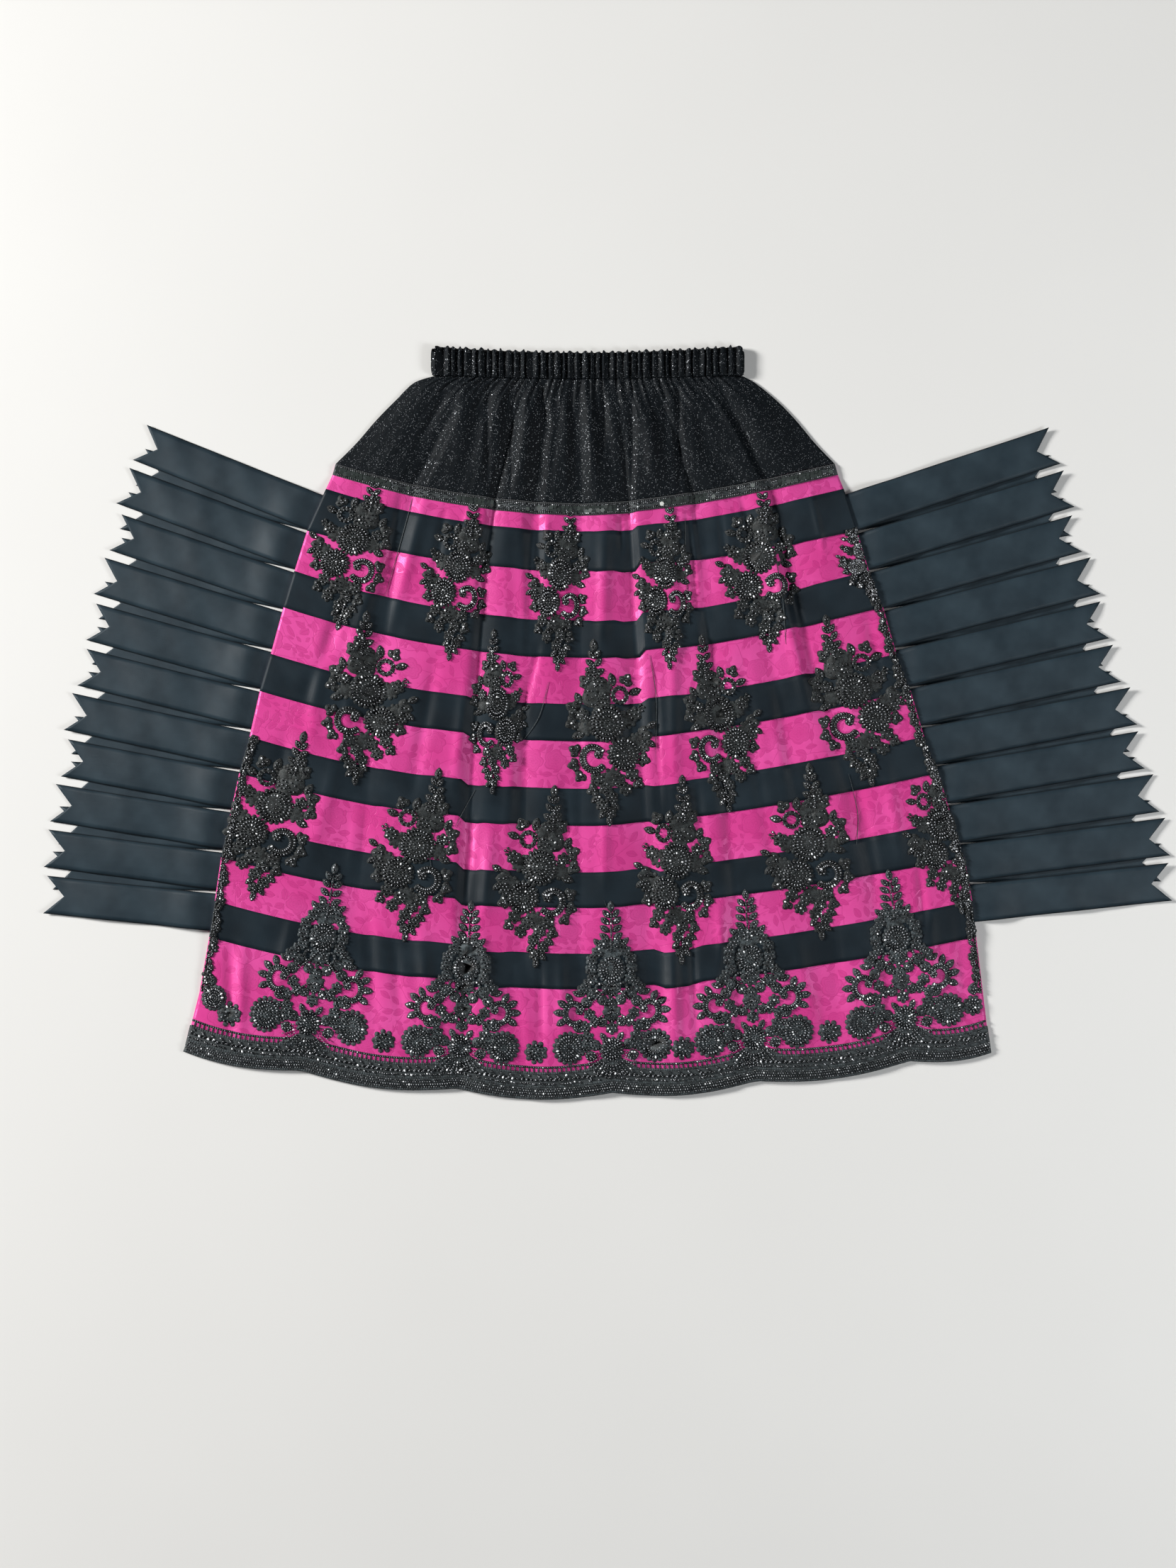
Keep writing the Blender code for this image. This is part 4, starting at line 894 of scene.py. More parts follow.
class Drawing:
    """Draws lace motifs. Places and directions are the design's, and sizes of beads are shares of BEAD."""

    def __init__(self, work, place, scale, turn, mirrored):
        self.work, self.place, self.scale, self.turn = work, place, scale, turn
        self.mirrored = mirrored

    def angle(self, degrees):
        angle = math.radians(degrees)
        return self.turn + (math.pi - angle if self.mirrored else angle)

    def put(self, shape, x, y, length, **more):
        at_x, at_y = self.place(x, y)
        self.work.put(shape, at_x, at_y, length, **more)

    def bead(self, x, y, size=1.0, degrees=0.0, stretch=1.0, lift=CORD_HEIGHT):
        radius = BEAD * size
        self.put("bead", x, y, radius * stretch, width=radius, height=radius, turn=self.angle(degrees),
                 lift=lift + radius * BEAD_SINK)

    def ring(self, x, y, radius, count, size=1.0, stretch=1.0, first=0.0, lift=CORD_HEIGHT):
        """A ring of beads that point outwards."""
        for number in range(count):
            degrees = first + 360 * number / count
            self.bead(*point_from(x, y, radius, degrees), size, degrees, stretch, lift)

    def rings(self, m, rings, first, lift):
        for share, count, size, stretch in rings:
            self.ring(m.x, m.y, m.size * share, count, size, stretch, first, lift)

    def cord(self, x, y, degrees, half_length, half_width=0.0016):
        self.put("cord", x, y, half_length * self.scale, width=half_width, height=CORD_HEIGHT,
                 turn=self.angle(degrees))

    def base(self, shape, m, length, width, height, degrees):
        """What a motif's beads stand on, its length and width as shares of the motif's size."""
        self.put(shape, m.x, m.y, m.size * length * self.scale, width=m.size * width * self.scale,
                 height=height, turn=self.angle(degrees))

    def ground(self, m):
        """A piece of the lace's own cloth between its motifs, with an uneven edge."""
        self.base("plate", m, 1.0, 0.85, GROUND_HEIGHT, 70 * m.x / 0.01)
        self.rim(m, 0.88, 9, 0.0028, GROUND_HEIGHT)

    def rim(self, m, share, count, half_width, height):
        """Small corded lobes round a motif's edge."""
        for number in range(count):
            degrees = m.turn + 360 * (number + 0.5) / count
            x, y = point_from(m.x, m.y, share * m.size, degrees)
            self.put("cord", x, y, half_width * self.scale, height=height, turn=self.angle(degrees))

    def rose(self, m):
        """A round plate with a lobed rim, covered by rings of beads."""
        self.base("plate", m, 0.94, 0.94, PLATE_HEIGHT, m.turn)
        self.rim(m, 0.93, round(m.size / 0.00105), 0.0029, PLATE_HEIGHT)
        counted = [(share, round(m.size / spacing), size, stretch)
                   for share, spacing, size, stretch in ROSE_RINGS]
        self.rings(m, counted, m.turn, PLATE_HEIGHT)

    def medallion(self, m):
        """A wide plate with close rings of long beads."""
        self.base("plate", m, 1.10, 1.0, PLATE_HEIGHT, 0)
        self.rim(m, 1.04, 17, 0.0034, PLATE_HEIGHT)
        self.rings(m, MEDALLION_RINGS, 0.0, PLATE_HEIGHT)

    def bloom(self, m):
        """A low oval flower with two rings of beads round a middle one."""
        self.base("plate", m, 1.0, 0.75, PLATE_HEIGHT, 0)
        self.rim(m, 0.86, 9, 0.0036, CORD_HEIGHT)
        self.rings(m, BLOOM_RINGS, 0.0, PLATE_HEIGHT)
        self.bead(m.x, m.y, 1.1, lift=PLATE_HEIGHT)

    def flower(self, m):
        """A small flower of six corded lobes."""
        self.base("cord", m, 0.90, 0.90, CORD_HEIGHT, m.turn)
        self.rim(m, 0.72, 6, 0.0030, CORD_HEIGHT)
        self.ring(m.x, m.y, m.size * 0.60, max(5, round(m.size / 0.0013)), 0.95, 1.15, first=m.turn)
        self.bead(m.x, m.y, 1.0)

    def oval(self, m):
        """A pointed petal edged with beads."""
        self.base("leaf", m, 1.0, 1.5, CORD_HEIGHT, m.turn)
        a = math.radians(m.turn)
        for number in range(OVAL_BEADS):
            b = 2 * math.pi * number / OVAL_BEADS
            along, across = 0.68 * m.size * math.cos(b), 0.40 * m.size * math.sin(b)
            self.bead(m.x + along * math.cos(a) - across * math.sin(a),
                      m.y + along * math.sin(a) + across * math.cos(a), 0.85, m.turn, 1.1)
        self.bead(m.x, m.y, 0.9, m.turn, 1.5)

    def leaf(self, m):
        self.base("leaf", m, 1.0, 1.0, CORD_HEIGHT, m.turn)
        a = math.radians(m.turn)
        for along, across, size in LEAF_BEADS:
            self.bead(m.x + m.size * (along * math.cos(a) - across * math.sin(a)),
                      m.y + m.size * (along * math.sin(a) + across * math.cos(a)), size, m.turn, 1.25)

    def sprig(self, m):
        """A small leaf of three lobes, with beads on each."""
        for spread, reach in SPRIG_LOBES:
            x, y = point_from(m.x, m.y, m.size * reach, m.turn + spread)
            self.put("leaf", x, y, 0.56 * m.size * self.scale, width=0.78 * m.size * self.scale,
                     height=CORD_HEIGHT, turn=self.angle(m.turn + spread))
            for share in (-0.22, 0.18):
                self.bead(*point_from(x, y, share * m.size, m.turn + spread), 0.95, m.turn + spread, 1.3)

    def loop(self, m):
        """An open ring of cord and beads, with the cloth showing in its eye."""
        for number in range(LOOP_CORDS):
            degrees = m.turn + 360 * number / LOOP_CORDS
            x, y = point_from(m.x, m.y, 0.72 * m.size, degrees)
            self.cord(x, y, degrees + 90, m.size * 0.34, 0.0021)
        self.ring(m.x, m.y, m.size * 0.72, round(m.size / 0.00085), 0.85, 1.2, first=m.turn)

    def scroll(self, m):
        """A thick curled cord, ribbed with beads, that starts from a knob inside its curl."""
        steps = round(m.size / 0.00078)
        for number in range(steps):
            share = number / (steps - 1)
            degrees = m.turn - SCROLL_SWEEP * share
            radius = m.size * mix(0.58, 0.74, eased(2.5 * share))
            thick = m.size * 0.25
            x, y = point_from(m.x, m.y, radius, degrees)
            self.cord(x, y, degrees + 90, m.size * 0.15, thick * self.scale)
            for side in (-0.48, 0.48):
                self.bead(*point_from(m.x, m.y, radius + side * thick, degrees), 0.86, degrees, 1.75)
        x, y = point_from(m.x, m.y, 0.36 * m.size, m.turn)
        self.put("cord", x, y, 0.30 * m.size * self.scale, height=CORD_HEIGHT)
        self.ring(x, y, 0.20 * m.size, 6, 0.95, 1.3)
        self.bead(x, y)

    def eye(self, m):
        """A ring of beads round a small window."""
        for number in range(EYE_CORDS):
            degrees = m.turn + 360 * number / EYE_CORDS
            x, y = point_from(m.x, m.y, 0.66 * m.size, degrees)
            self.cord(x, y, degrees + 90, m.size * 0.36, 0.0032)
        self.rings(m, EYE_RINGS, m.turn, CORD_HEIGHT)

    def buds(self, m):
        """Three buds on short stalks."""
        for spread, reach in ((-35, 1.0), (0, 1.25), (35, 1.0)):
            x, y = point_from(m.x, m.y, m.size * reach, m.turn + spread)
            self.put("cord", x, y, 0.0019, height=CORD_HEIGHT)
            self.bead(x, y, 0.75)
            self.cord((x + m.x) / 2, (y + m.y) / 2, m.turn + spread, m.size * reach / 2, 0.0008)

    def stem(self, points):
        """A cord with a line of beads on it, through the points."""
        for (x0, y0), (x1, y1) in zip(points, points[1:]):
            length = math.hypot(x1 - x0, y1 - y0)
            degrees = math.degrees(math.atan2(y1 - y0, x1 - x0))
            self.cord((x0 + x1) / 2, (y0 + y1) / 2, degrees, length * 0.56, 0.0015)
            count = max(2, round(length / STEM_BEAD_SPACING))
            for number in range(count):
                share = (number + 0.5) / count
                self.bead(mix(x0, x1, share), mix(y0, y1, share), 0.8, degrees, 1.25)

    def draw(self, motifs):
        """Draws each motif with the method that has the name of its kind."""
        for motif in motifs:
            getattr(self, motif.kind)(motif)


def make_spray(number, spray, ground, finishes):
    """One lace spray, laid with the flare of the skirt."""
    turn = FLARE * spray.x / FLARE_REACH
    flip = -1 if spray.mirrored else 1
    top_row = number <= TOP_ROW_COUNT

    def drawn_up(y):
        return y + TOP_ROW_LIFT * eased((y - TOP_ROW_START) / TOP_ROW_EASE) if top_row else y

    def place(x, y):
        x, y = flip * x * spray.size_x, drawn_up(y) * spray.size_y
        return (spray.x + x * math.cos(turn) - y * math.sin(turn),
                spray.y + x * math.sin(turn) + y * math.cos(turn))

    work = Handwork(ground)
    pen = Drawing(work, place, math.sqrt(spray.size_x * spray.size_y), turn, spray.mirrored)
    for points in SPRAY_STEMS:
        pen.stem([point for point in points if drawn_up(point[1]) < TOP_ROW_LIMIT])
    pen.draw([motif for motif in SPRAY_MOTIFS if drawn_up(motif.y) < TOP_ROW_LIMIT + TOP_ROW_OVERLAP])
    name = f"beaded_spray_{number:02d}"
    piece = show(name, work.mesh(name), *finishes)
    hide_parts(f"lace_spray_{number:02d}")


def on_border(along, height):
    """A point of the border: its place along the hem and its height above it, spread with the flare."""
    hem, head = row_named("lace_hem"), row_named("ribbon_6_foot")
    hem_reach = hem.right if along > 0 else hem.left
    head_reach = head.right if along > 0 else head.left
    u = along / hem_reach
    hem_y = mix(hem.middle_y, hem.side_y, min(abs(u), 1.2) ** (RIGHT_CURVE if u > 0 else LEFT_CURVE))
    rise = head.middle_y - hem.middle_y
    return u * mix(hem_reach, head_reach, height / rise), hem_y + height


def scallop(along):
    """Height of the scalloped edge above the hem line."""
    stops = [SCALLOP_ENDS[0]] + [tree.along for tree in TREES] + [SCALLOP_ENDS[1]]
    for left, right in zip(stops, stops[1:]):
        if left <= along <= right:
            share = (along - left) / (right - left)
            return SCALLOP_DEPTH * (1 - math.sin(math.pi * share))
    return SCALLOP_DEPTH


def sag(along):
    """How far the arcs between two trees hang down at that place, from 0 at a tree to 1 half way."""
    return 1 - scallop(along) / SCALLOP_DEPTH


BORDER_STEP = 0.0030
SLOPE_STEP = 0.001
ZIGZAG_STEPS = 4
ZIGZAG_LEAN = 62
# Rows of beads above the scalloped edge: shift along it, height above it, bead, turn and stretch
HEM_BEADS = [(0.0, 0.0045, 0.80, 0, 1.0), (0.0015, 0.0078, 0.85, 90, 1.4), (0.0, 0.0112, 0.80, 0, 1.1)]
ARC_HEIGHT = 0.0500
ARC_SAG = 0.0090
# Rays of beads below the foot of each tree: count, degrees between them, height they start from and the
# distance of each bead
RAY_COUNT = 9
RAY_STEP = 10.0
RAY_CENTRE = 0.0620
RAY_REACHES = (0.0190, 0.0225, 0.0260, 0.0295, 0.0330)


def hem_slope(along):
    """The direction of the hem at a place, in degrees."""
    rise = on_border(along + SLOPE_STEP, 0)[1] - on_border(along - SLOPE_STEP, 0)[1]
    return math.degrees(math.atan2(rise, 2 * SLOPE_STEP))


def hem_rows(pen):
    """Rows along the hem, each at its own height, with the ladder of cord that hangs between the trees."""
    hem = row_named("lace_hem")
    count = round((hem.left + hem.right) / BORDER_STEP)
    for number in range(count + 1):
        along = mix(-hem.left, hem.right, number / count)
        slope = hem_slope(along)
        edge, arc = scallop(along), ARC_HEIGHT - ARC_SAG * sag(along)
        wave = math.sin(number * 0.9)
        pen.cord(along, edge + 0.0018, slope, 0.0021, 0.0015)
        for shift, height, size, turn, stretch in HEM_BEADS:
            pen.bead(along + shift, edge + height, size, slope + turn, stretch)
        if number % 4:
            pen.bead(along + 0.0015, edge + 0.0138, 0.75, slope, 1.0)
        pen.cord(along, edge + 0.0165, slope, 0.0021, 0.0016)
        pen.cord(along, arc, slope, 0.0021, 0.0017)
        pen.cord(along, arc - 0.0075, slope, 0.0021, 0.0021)
        pen.bead(along, arc, 0.65)
        if number % 2 == 0:
            pen.cord(along, arc - 0.0038, slope + 90, 0.0034, 0.0013)
        # Beads in a zigzag, thickened to small clusters, between the ladder and the hem rows
        low, high = edge + 0.0200, arc - 0.0105
        step = number % ZIGZAG_STEPS
        share = abs(2 * step / ZIGZAG_STEPS - 1)
        lean = ZIGZAG_LEAN if 2 * step < ZIGZAG_STEPS else -ZIGZAG_LEAN
        pen.bead(along, mix(high, low, share), 1.0, slope - lean, 1.5)
        if spark(along, 1.0) > 0.25:
            height = mix(high, low, 0.5 * share + 0.1) + 0.0006 * wave
            pen.bead(along + 0.0012, height, 0.95, slope + 40 * wave, 1.3)
        if spark(along, 2.0) > 0.35:
            pen.bead(along - 0.0010, mix(high, low, 0.95) - 0.0006 * wave, 0.85, slope + 60 * wave, 1.2)


def make_border_beads(ground, finishes):
    """The lace border: five trees, the blooms between them and the rows along the hem."""
    work = Handwork(ground)
    for tree in TREES:
        for side in (-1, 1):
            def place(x, height, tree=tree, side=side):
                return on_border(tree.along + side * x, height * tree.size_y)
            turn = FLARE * tree.along / FLARE_REACH
            pen = Drawing(work, place, 1.0, turn, side < 0)
            for points in TREE_STEMS[(0 if side > 0 else 1):]:
                pen.stem(points)
            pen.draw(TREE_SIDE)
            if side > 0:
                pen.draw(TREE_MIDDLE)
            for ray in range(RAY_COUNT):
                degrees = -RAY_STEP * (ray + 0.5)
                for reach in RAY_REACHES:
                    pen.bead(*point_from(0.0, RAY_CENTRE, reach, degrees), 0.85, degrees, 1.5)
    pen = Drawing(work, on_border, 1.0, 0.0, False)
    for left, right in zip(TREES, TREES[1:]):
        pen.bloom(BLOOM_MOTIF._replace(x=(left.along + right.along) / 2))
    pen.draw(SIDE_MOTIFS)
    hem_rows(pen)
    piece = show("beaded_border", work.mesh("beaded_border"), *finishes)
    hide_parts("lace_border_front")
    return piece


# Rows between which a narrow strip of lace follows a side seam
SIDE_LACE_ROWS = {"left": ("ribbon_4_top", "lace_head"), "right": ("ribbon_1_foot", "lace_head")}
SIDE_LACE_STEP = 0.0085
SIDE_LACE_KINDS = ("flower", "leaf", "oval", "flower", "leaf", "leaf", "oval")


def make_side_lace(side, ground, finishes):
    """A narrow beaded strip along a side seam."""
    sign = -1 if side == "left" else 1
    first, last = (row_named(name) for name in SIDE_LACE_ROWS[side])
    levels = [row.side_y for row in SKIRT_ROWS][::-1]
    reaches = [getattr(row, side) for row in SKIRT_ROWS][::-1]
    work = Handwork(ground)
    pen = Drawing(work, lambda x, y: (x, y), 1.0, 0.0, False)
    count = round((first.side_y - last.side_y) / SIDE_LACE_STEP)
    for number in range(count):
        y = first.side_y - SIDE_LACE_STEP * (number + 0.5)
        edge = float(np.interp(y, levels, reaches))
        kind = SIDE_LACE_KINDS[number % len(SIDE_LACE_KINDS)]
        inset = 0.0068 + 0.0012 * math.sin(1.9 * number)
        turn = 90 + sign * 18 + 35 * math.sin(2.7 * number)
        pen.draw([Motif(kind, sign * (edge - inset), y, 0.0058 + 0.0008 * math.sin(1.3 * number), turn)])
        for step in (-0.25, 0.25):
            pen.cord(sign * (edge - 0.0022), y + step * SIDE_LACE_STEP, 90 + sign * 14, 0.0027, 0.0014)
            pen.bead(sign * (edge - 0.0022), y + step * SIDE_LACE_STEP, 0.7)
    piece = show(f"side_lace_{side}", work.mesh(f"side_lace_{side}"), *finishes)


NET_COLUMNS = 340
NET_LINES = 14
NET_LIFT = 0.0004
# How far the net stays below the arcs, and how it rises to a peak under each tree
NET_BELOW_ARC = 0.0070
NET_PEAK = 0.018
NET_PEAK_REACH = 0.036
# Where the net runs past the ground it takes the height of the nearest place to a point at this height
NET_SEARCH_HEIGHT = 0.003


def make_lace_ground(ground):
    """The cloth of the lace border, from its scalloped edge up to the arcs between the trees."""
    hem = row_named("lace_hem")
    x, y, z, across, down = np.zeros((5, NET_LINES, NET_COLUMNS))
    for column, place in enumerate(np.linspace(-hem.left, hem.right, NET_COLUMNS)):
        low, high = scallop(place), ARC_HEIGHT - NET_BELOW_ARC - ARC_SAG * sag(place)
        nearest = min(abs(place - tree.along) for tree in TREES)
        high += NET_PEAK * max(0.0, 1 - nearest / NET_PEAK_REACH)
        for line in range(NET_LINES):
            height = mix(high, low, line / (NET_LINES - 1))
            px, py = on_border(place, height)
            level = ground.height(px, py)
            if level is None:
                level = ground.tree.find_nearest(Vector((px, py, NET_SEARCH_HEIGHT)))[0].z
            x[line, column], y[line, column], z[line, column] = px, py, level + NET_LIFT
            across[line, column], down[line, column] = place, height
    return Sheet(x, y, z, across, down)


# Yoke and waistband

def smooth_through(values, place):
    """A smooth curve through values at 0, 1, 2 and so on."""
    index = min(int(place), len(values) - 2)
    share = place - index
    p0 = values[max(index - 1, 0)]
    p1, p2 = values[index], values[index + 1]
    p3 = values[min(index + 2, len(values) - 1)]
    return p1 + 0.5 * share * (p2 - p0 + share * (2 * p0 - 5 * p1 + 4 * p2 - p3
                                                  + share * (3 * (p1 - p2) + p3 - p0)))


def gather_places():
    """Crests and hollows of the elastic's gathers, as shares of the half width, unevenly spaced."""
    steps = 2 * GATHER_COUNT
    places = []
    for index in range(steps + 1):
        wander = 0.32 * math.sin(1.7 * index) + 0.22 * math.sin(0.61 * index + 1.0)
        even = index + (wander if 0 < index < steps else 0.0)
        places.append(GATHER_REACH * (2 * even / steps - 1))
    return places


def gather_columns():
    """Finer places between the crests and hollows, and how high each is, from -1 to 1."""
    stops = [-1.0] + gather_places() + [1.0]
    places, swings = [stops[0]], [1.0]
    for index in range(len(stops) - 1):
        for step in range(1, GATHER_STEPS + 1):
            share = step / GATHER_STEPS
            places.append(mix(stops[index], stops[index + 1], share))
            swings.append(math.cos(math.pi * (index + share)))
    return np.array(places), np.array(swings)


YOKE_LINES = 44
YOKE_BOW = 0.018
YOKE_RIPPLE = 0.0004
YOKE_FULLNESS = 1.25


def yoke_sheet(front):
    """The face of the yoke: folds, creases and the elastic's gathers, which die out towards the seam."""
    places, swings = gather_columns()
    u = np.broadcast_to(places[None, :], (YOKE_LINES + 1, len(places))).copy()
    share = (np.arange(YOKE_LINES + 1) / YOKE_LINES)[:, None]
    steps = share[:, 0] * (len(YOKE_ROWS) - 1)

    def drawn(values):
        return np.array([smooth_through(values, place) for place in steps])[:, None]

    middle_y, side_y, left, right = (drawn([getattr(row, field) for row in YOKE_ROWS])
                                     for field in ("middle_y", "side_y", "left", "right"))
    gather, fold_share = drawn(GATHER_RISES), drawn(FOLD_SHARES)
    x, y = places_across(u, middle_y, side_y, left, right)
    seam = np.interp(x[-1], front.x[0], front.z[0] - FRONT_REST)
    body = mix(WAIST_RISE, seam[None, :], eased(share))
    uneven = 1 + 0.35 * np.sin(37 * u + 4 * share) * np.sin(11 * u)
    folds = np.zeros_like(u)
    for index, fold in enumerate(YOKE_FOLDS):
        bow = YOKE_BOW * np.sin(math.pi * share) * math.sin(2.1 * index)
        away = (u - mix(fold.waist, fold.seam, share) - bow) / fold.half_width
        folds += fold.rise * np.exp(-away * away)
    ripple = YOKE_RIPPLE * np.sin(90 * u + 3 * np.sin(9 * share)) * (1 - share)
    creases = crease_relief(YOKE_CREASES, x, y)
    rise = body + gather * swings[None, :] * uneven + folds * fold_share + creases + ripple
    z = FRONT_REST + np.maximum(rise, 0.0) * (1 - np.abs(u) ** SIDE_ROUNDING) + FRONT_WALL
    return Sheet(x, y, z, x * YOKE_FULLNESS, -(middle_y - middle_y[0]) + np.zeros_like(x))


def band_edges(x):
    """Height of the casing's foot and top at a place across it, with its corners rounded off."""
    u = max(-1.0, min(1.0, x / BAND_HALF_WIDTH))
    foot = place_on_row(YOKE_ROWS[0], u)[1] + GAP
    corner = max(0.0, abs(x) - BAND_HALF_WIDTH + BAND_CORNER) / BAND_CORNER
    return foot, foot + mix(BAND_HEIGHT_MIDDLE, BAND_HEIGHT_SIDE, u * u) - BAND_DROP * corner**3


# A line round the casing's outside, from foot to top: its share of the height, how far it sinks in, how full
# the gathers are on it
CasingLine = namedtuple("CasingLine", "share sink gather")
CASING_LINES = [CasingLine(*numbers) for numbers in [
    (0.00, 0.0024, 0.6),
    (0.04, 0.0010, 0.9),
    (0.09, 0.0012, 0.7),
    (0.13, 0.0004, 1.0),
    (0.30, 0.0000, 1.0),
    (0.50, -0.0001, 0.9),
    (0.70, 0.0000, 1.0),
    (0.84, 0.0003, 1.1),
    (0.93, 0.0010, 1.2),
    (0.98, 0.0020, 1.2),
    (1.00, 0.0034, 1.0),
]]
CASING_GATHER = 0.0022
CASING_RIPPLE = 0.0013
CASING_UNEVEN = 0.7
CASING_LEAN = 0.0010
CASING_LOWEST = 0.0002
CASING_WALL = 0.0010
CASING_SIDE_STEPS = 8
# The casing's cut: its length against the ring that it is gathered to, and its height
CASING_FULLNESS = 1.3
CASING_CUT_HEIGHT = 0.035


def casing_stations():
    """Places round the pressed ring: x, z, the outward direction and how high the gather is."""
    radius = BAND_DEPTH / 2
    straight = BAND_HALF_WIDTH - radius
    places, swings = gather_columns()
    front = [(straight * u, BAND_DEPTH, (0, 1), swing) for u, swing in zip(places, swings)]
    turn = [math.pi * (0.5 - step / CASING_SIDE_STEPS) for step in range(1, CASING_SIDE_STEPS)]
    right = [(straight + radius * math.cos(a), radius + radius * math.sin(a), (math.cos(a), math.sin(a)),
              math.sin(7 * a)) for a in turn]
    back = [(-x, 0.0, (0, -1), 0.35 * swing - 0.35) for x, _, _, swing in front]
    left = [(-x, BAND_DEPTH - z, (-nx, -nz), swing) for x, z, (nx, nz), swing in right]
    return front + right + back + left


def casing_sheet():
    """The outside of the casing, once round the waist."""
    stations = casing_stations()
    stations.append(stations[0])
    lines = CASING_LINES[::-1]
    x, y, z, across, down = np.zeros((5, len(lines), len(stations)))
    walked = 0.0
    for column, (sx, sz, (nx, nz), swing) in enumerate(stations):
        if column:
            walked += math.hypot(sx - stations[column - 1][0], sz - stations[column - 1][1])
        foot, top = band_edges(sx)
        uneven = 1 + CASING_UNEVEN * math.sin(column * 0.37) * math.sin(column * 0.11)
        for line, (share, sink, gather) in enumerate(lines):
            lean = CASING_LEAN * math.sin(column * 0.23) * math.sin(math.pi * share)
            swell = CASING_GATHER * swing * gather * uneven - sink
            x[line, column] = sx + nx * swell + lean * abs(nz)
            y[line, column] = mix(foot, top, share) + CASING_RIPPLE * swing * share * uneven
            z[line, column] = max(sz + nz * swell, CASING_LOWEST)
            across[line, column] = walked * CASING_FULLNESS
            down[line, column] = share * CASING_CUT_HEIGHT
    return Sheet(x, y, z, across, down)


# Ribbon ends

def side_edge(fan):
    """The side seam between a fan's first and last ribbon, from the waist end down."""
    sign = -1 if fan.side == "left" else 1
    edge = [Vector((place_on_row(row, sign)[0], row.side_y)) for row in SKIRT_ROWS]
    line = []
    for above, below in zip(edge, edge[1:]):
        for y in (fan.top_y, fan.foot_y):
            if below.y <= y < above.y:
                line.append(above.lerp(below, (above.y - y) / (above.y - below.y)))
        if fan.foot_y < below.y < fan.top_y:
            line.append(below)
    return sorted(line, key=lambda point: -point.y)


def point_along(line, distance):
    """The point that lies a distance along a line of points."""
    for start, end in zip(line, line[1:]):
        step = (end - start).length
        if distance <= step:
            return start.lerp(end, distance / step)
        distance -= step
    return line[-1].copy()


def fan_ribbons(fan):
    """Root on the side seam, direction and length of each ribbon of a fan."""
    line = side_edge(fan)
    length = sum((b - a).length for a, b in zip(line, line[1:]))
    sign = -1 if fan.side == "left" else 1
    ribbons = []
    for index in range(TAIL_COUNT):
        share = index / (TAIL_COUNT - 1)
        root = point_along(line, length * (index + 0.5) / TAIL_COUNT)
        angle = math.radians(mix(fan.first_angle, fan.last_angle, share))
        reach = mix(fan.first_length, fan.last_length, share) + LENGTH_SPREAD * math.sin(LENGTH_STEP * index)
        ribbons.append((root, Vector((sign * math.cos(angle), math.sin(angle))), reach))
    return ribbons


def turned(direction, angle):
    c, s = math.cos(angle), math.sin(angle)
    return Vector((direction.x * c - direction.y * s, direction.x * s + direction.y * c))


def bend(kind, index):
    """What a Bend comes to for the ribbon end of that number."""
    return kind.mean + kind.spread * math.sin(kind.step * index)


TAIL_LINES = 44
TAIL_COLUMNS = 8
TAIL_THICKNESS = 0.0007
# Share of the lines up to the neck of the fork, and how far from the root a ribbon end starts to move freely
TAIL_NECK_SHARE = 0.85
TAIL_FREE = 0.05


def tail_sheet(start, heading, reach, levels, lean, bow, seed):
    """A ribbon from its root to its notched end. levels gives (distance, height) pairs of its underside."""
    distances, heights = zip(*levels)
    neck = reach - TAIL_NOTCH - TAIL_SHOULDER
    side = turned(heading, math.pi / 2)
    x, y, z, across, down = np.zeros((5, TAIL_LINES + 1, TAIL_COLUMNS + 1))
    for line in range(TAIL_LINES + 1):
        share = line / TAIL_LINES
        for column in range(TAIL_COLUMNS + 1):
            v = 2 * column / TAIL_COLUMNS - 1
            end = reach - TAIL_NOTCH * (1 - abs(v))
            if share <= TAIL_NECK_SHARE:
                along = share * neck / TAIL_NECK_SHARE
            else:
                along = mix(neck, end, (share - TAIL_NECK_SHARE) / (1 - TAIL_NECK_SHARE))
            spot = start + heading * along + side * (v * TAIL_WIDTH / 2)
            rise = float(np.interp(along, distances, heights))
            free = min(1.0, along / TAIL_FREE)
            ripple = (0.0004 * math.sin(along * 46 + seed * 2.1 + v)
                      + 0.00025 * math.sin(along * 131 + seed + 2 * v))
            x[line, column], y[line, column] = spot.x, spot.y
            z[line, column] = rise + free * (lean * v + bow * (1 - v * v) + ripple) + RIBBON_WALL
            across[line, column], down[line, column] = v * TAIL_WIDTH / 2, along
    if heading.x < 0:
        return Sheet(x, y, z, across, down)
    return Sheet(*(values[:, ::-1] for values in (x, y, z, across, down)))


def smooth_levels(points, count=28):
    """Soft curve through (distance, height) pairs."""
    distances, heights = [p[0] for p in points], [p[1] for p in points]
    last = len(points) - 1
    return [(smooth_through(distances, last * n / count), smooth_through(heights, last * n / count))
            for n in range(count + 1)]


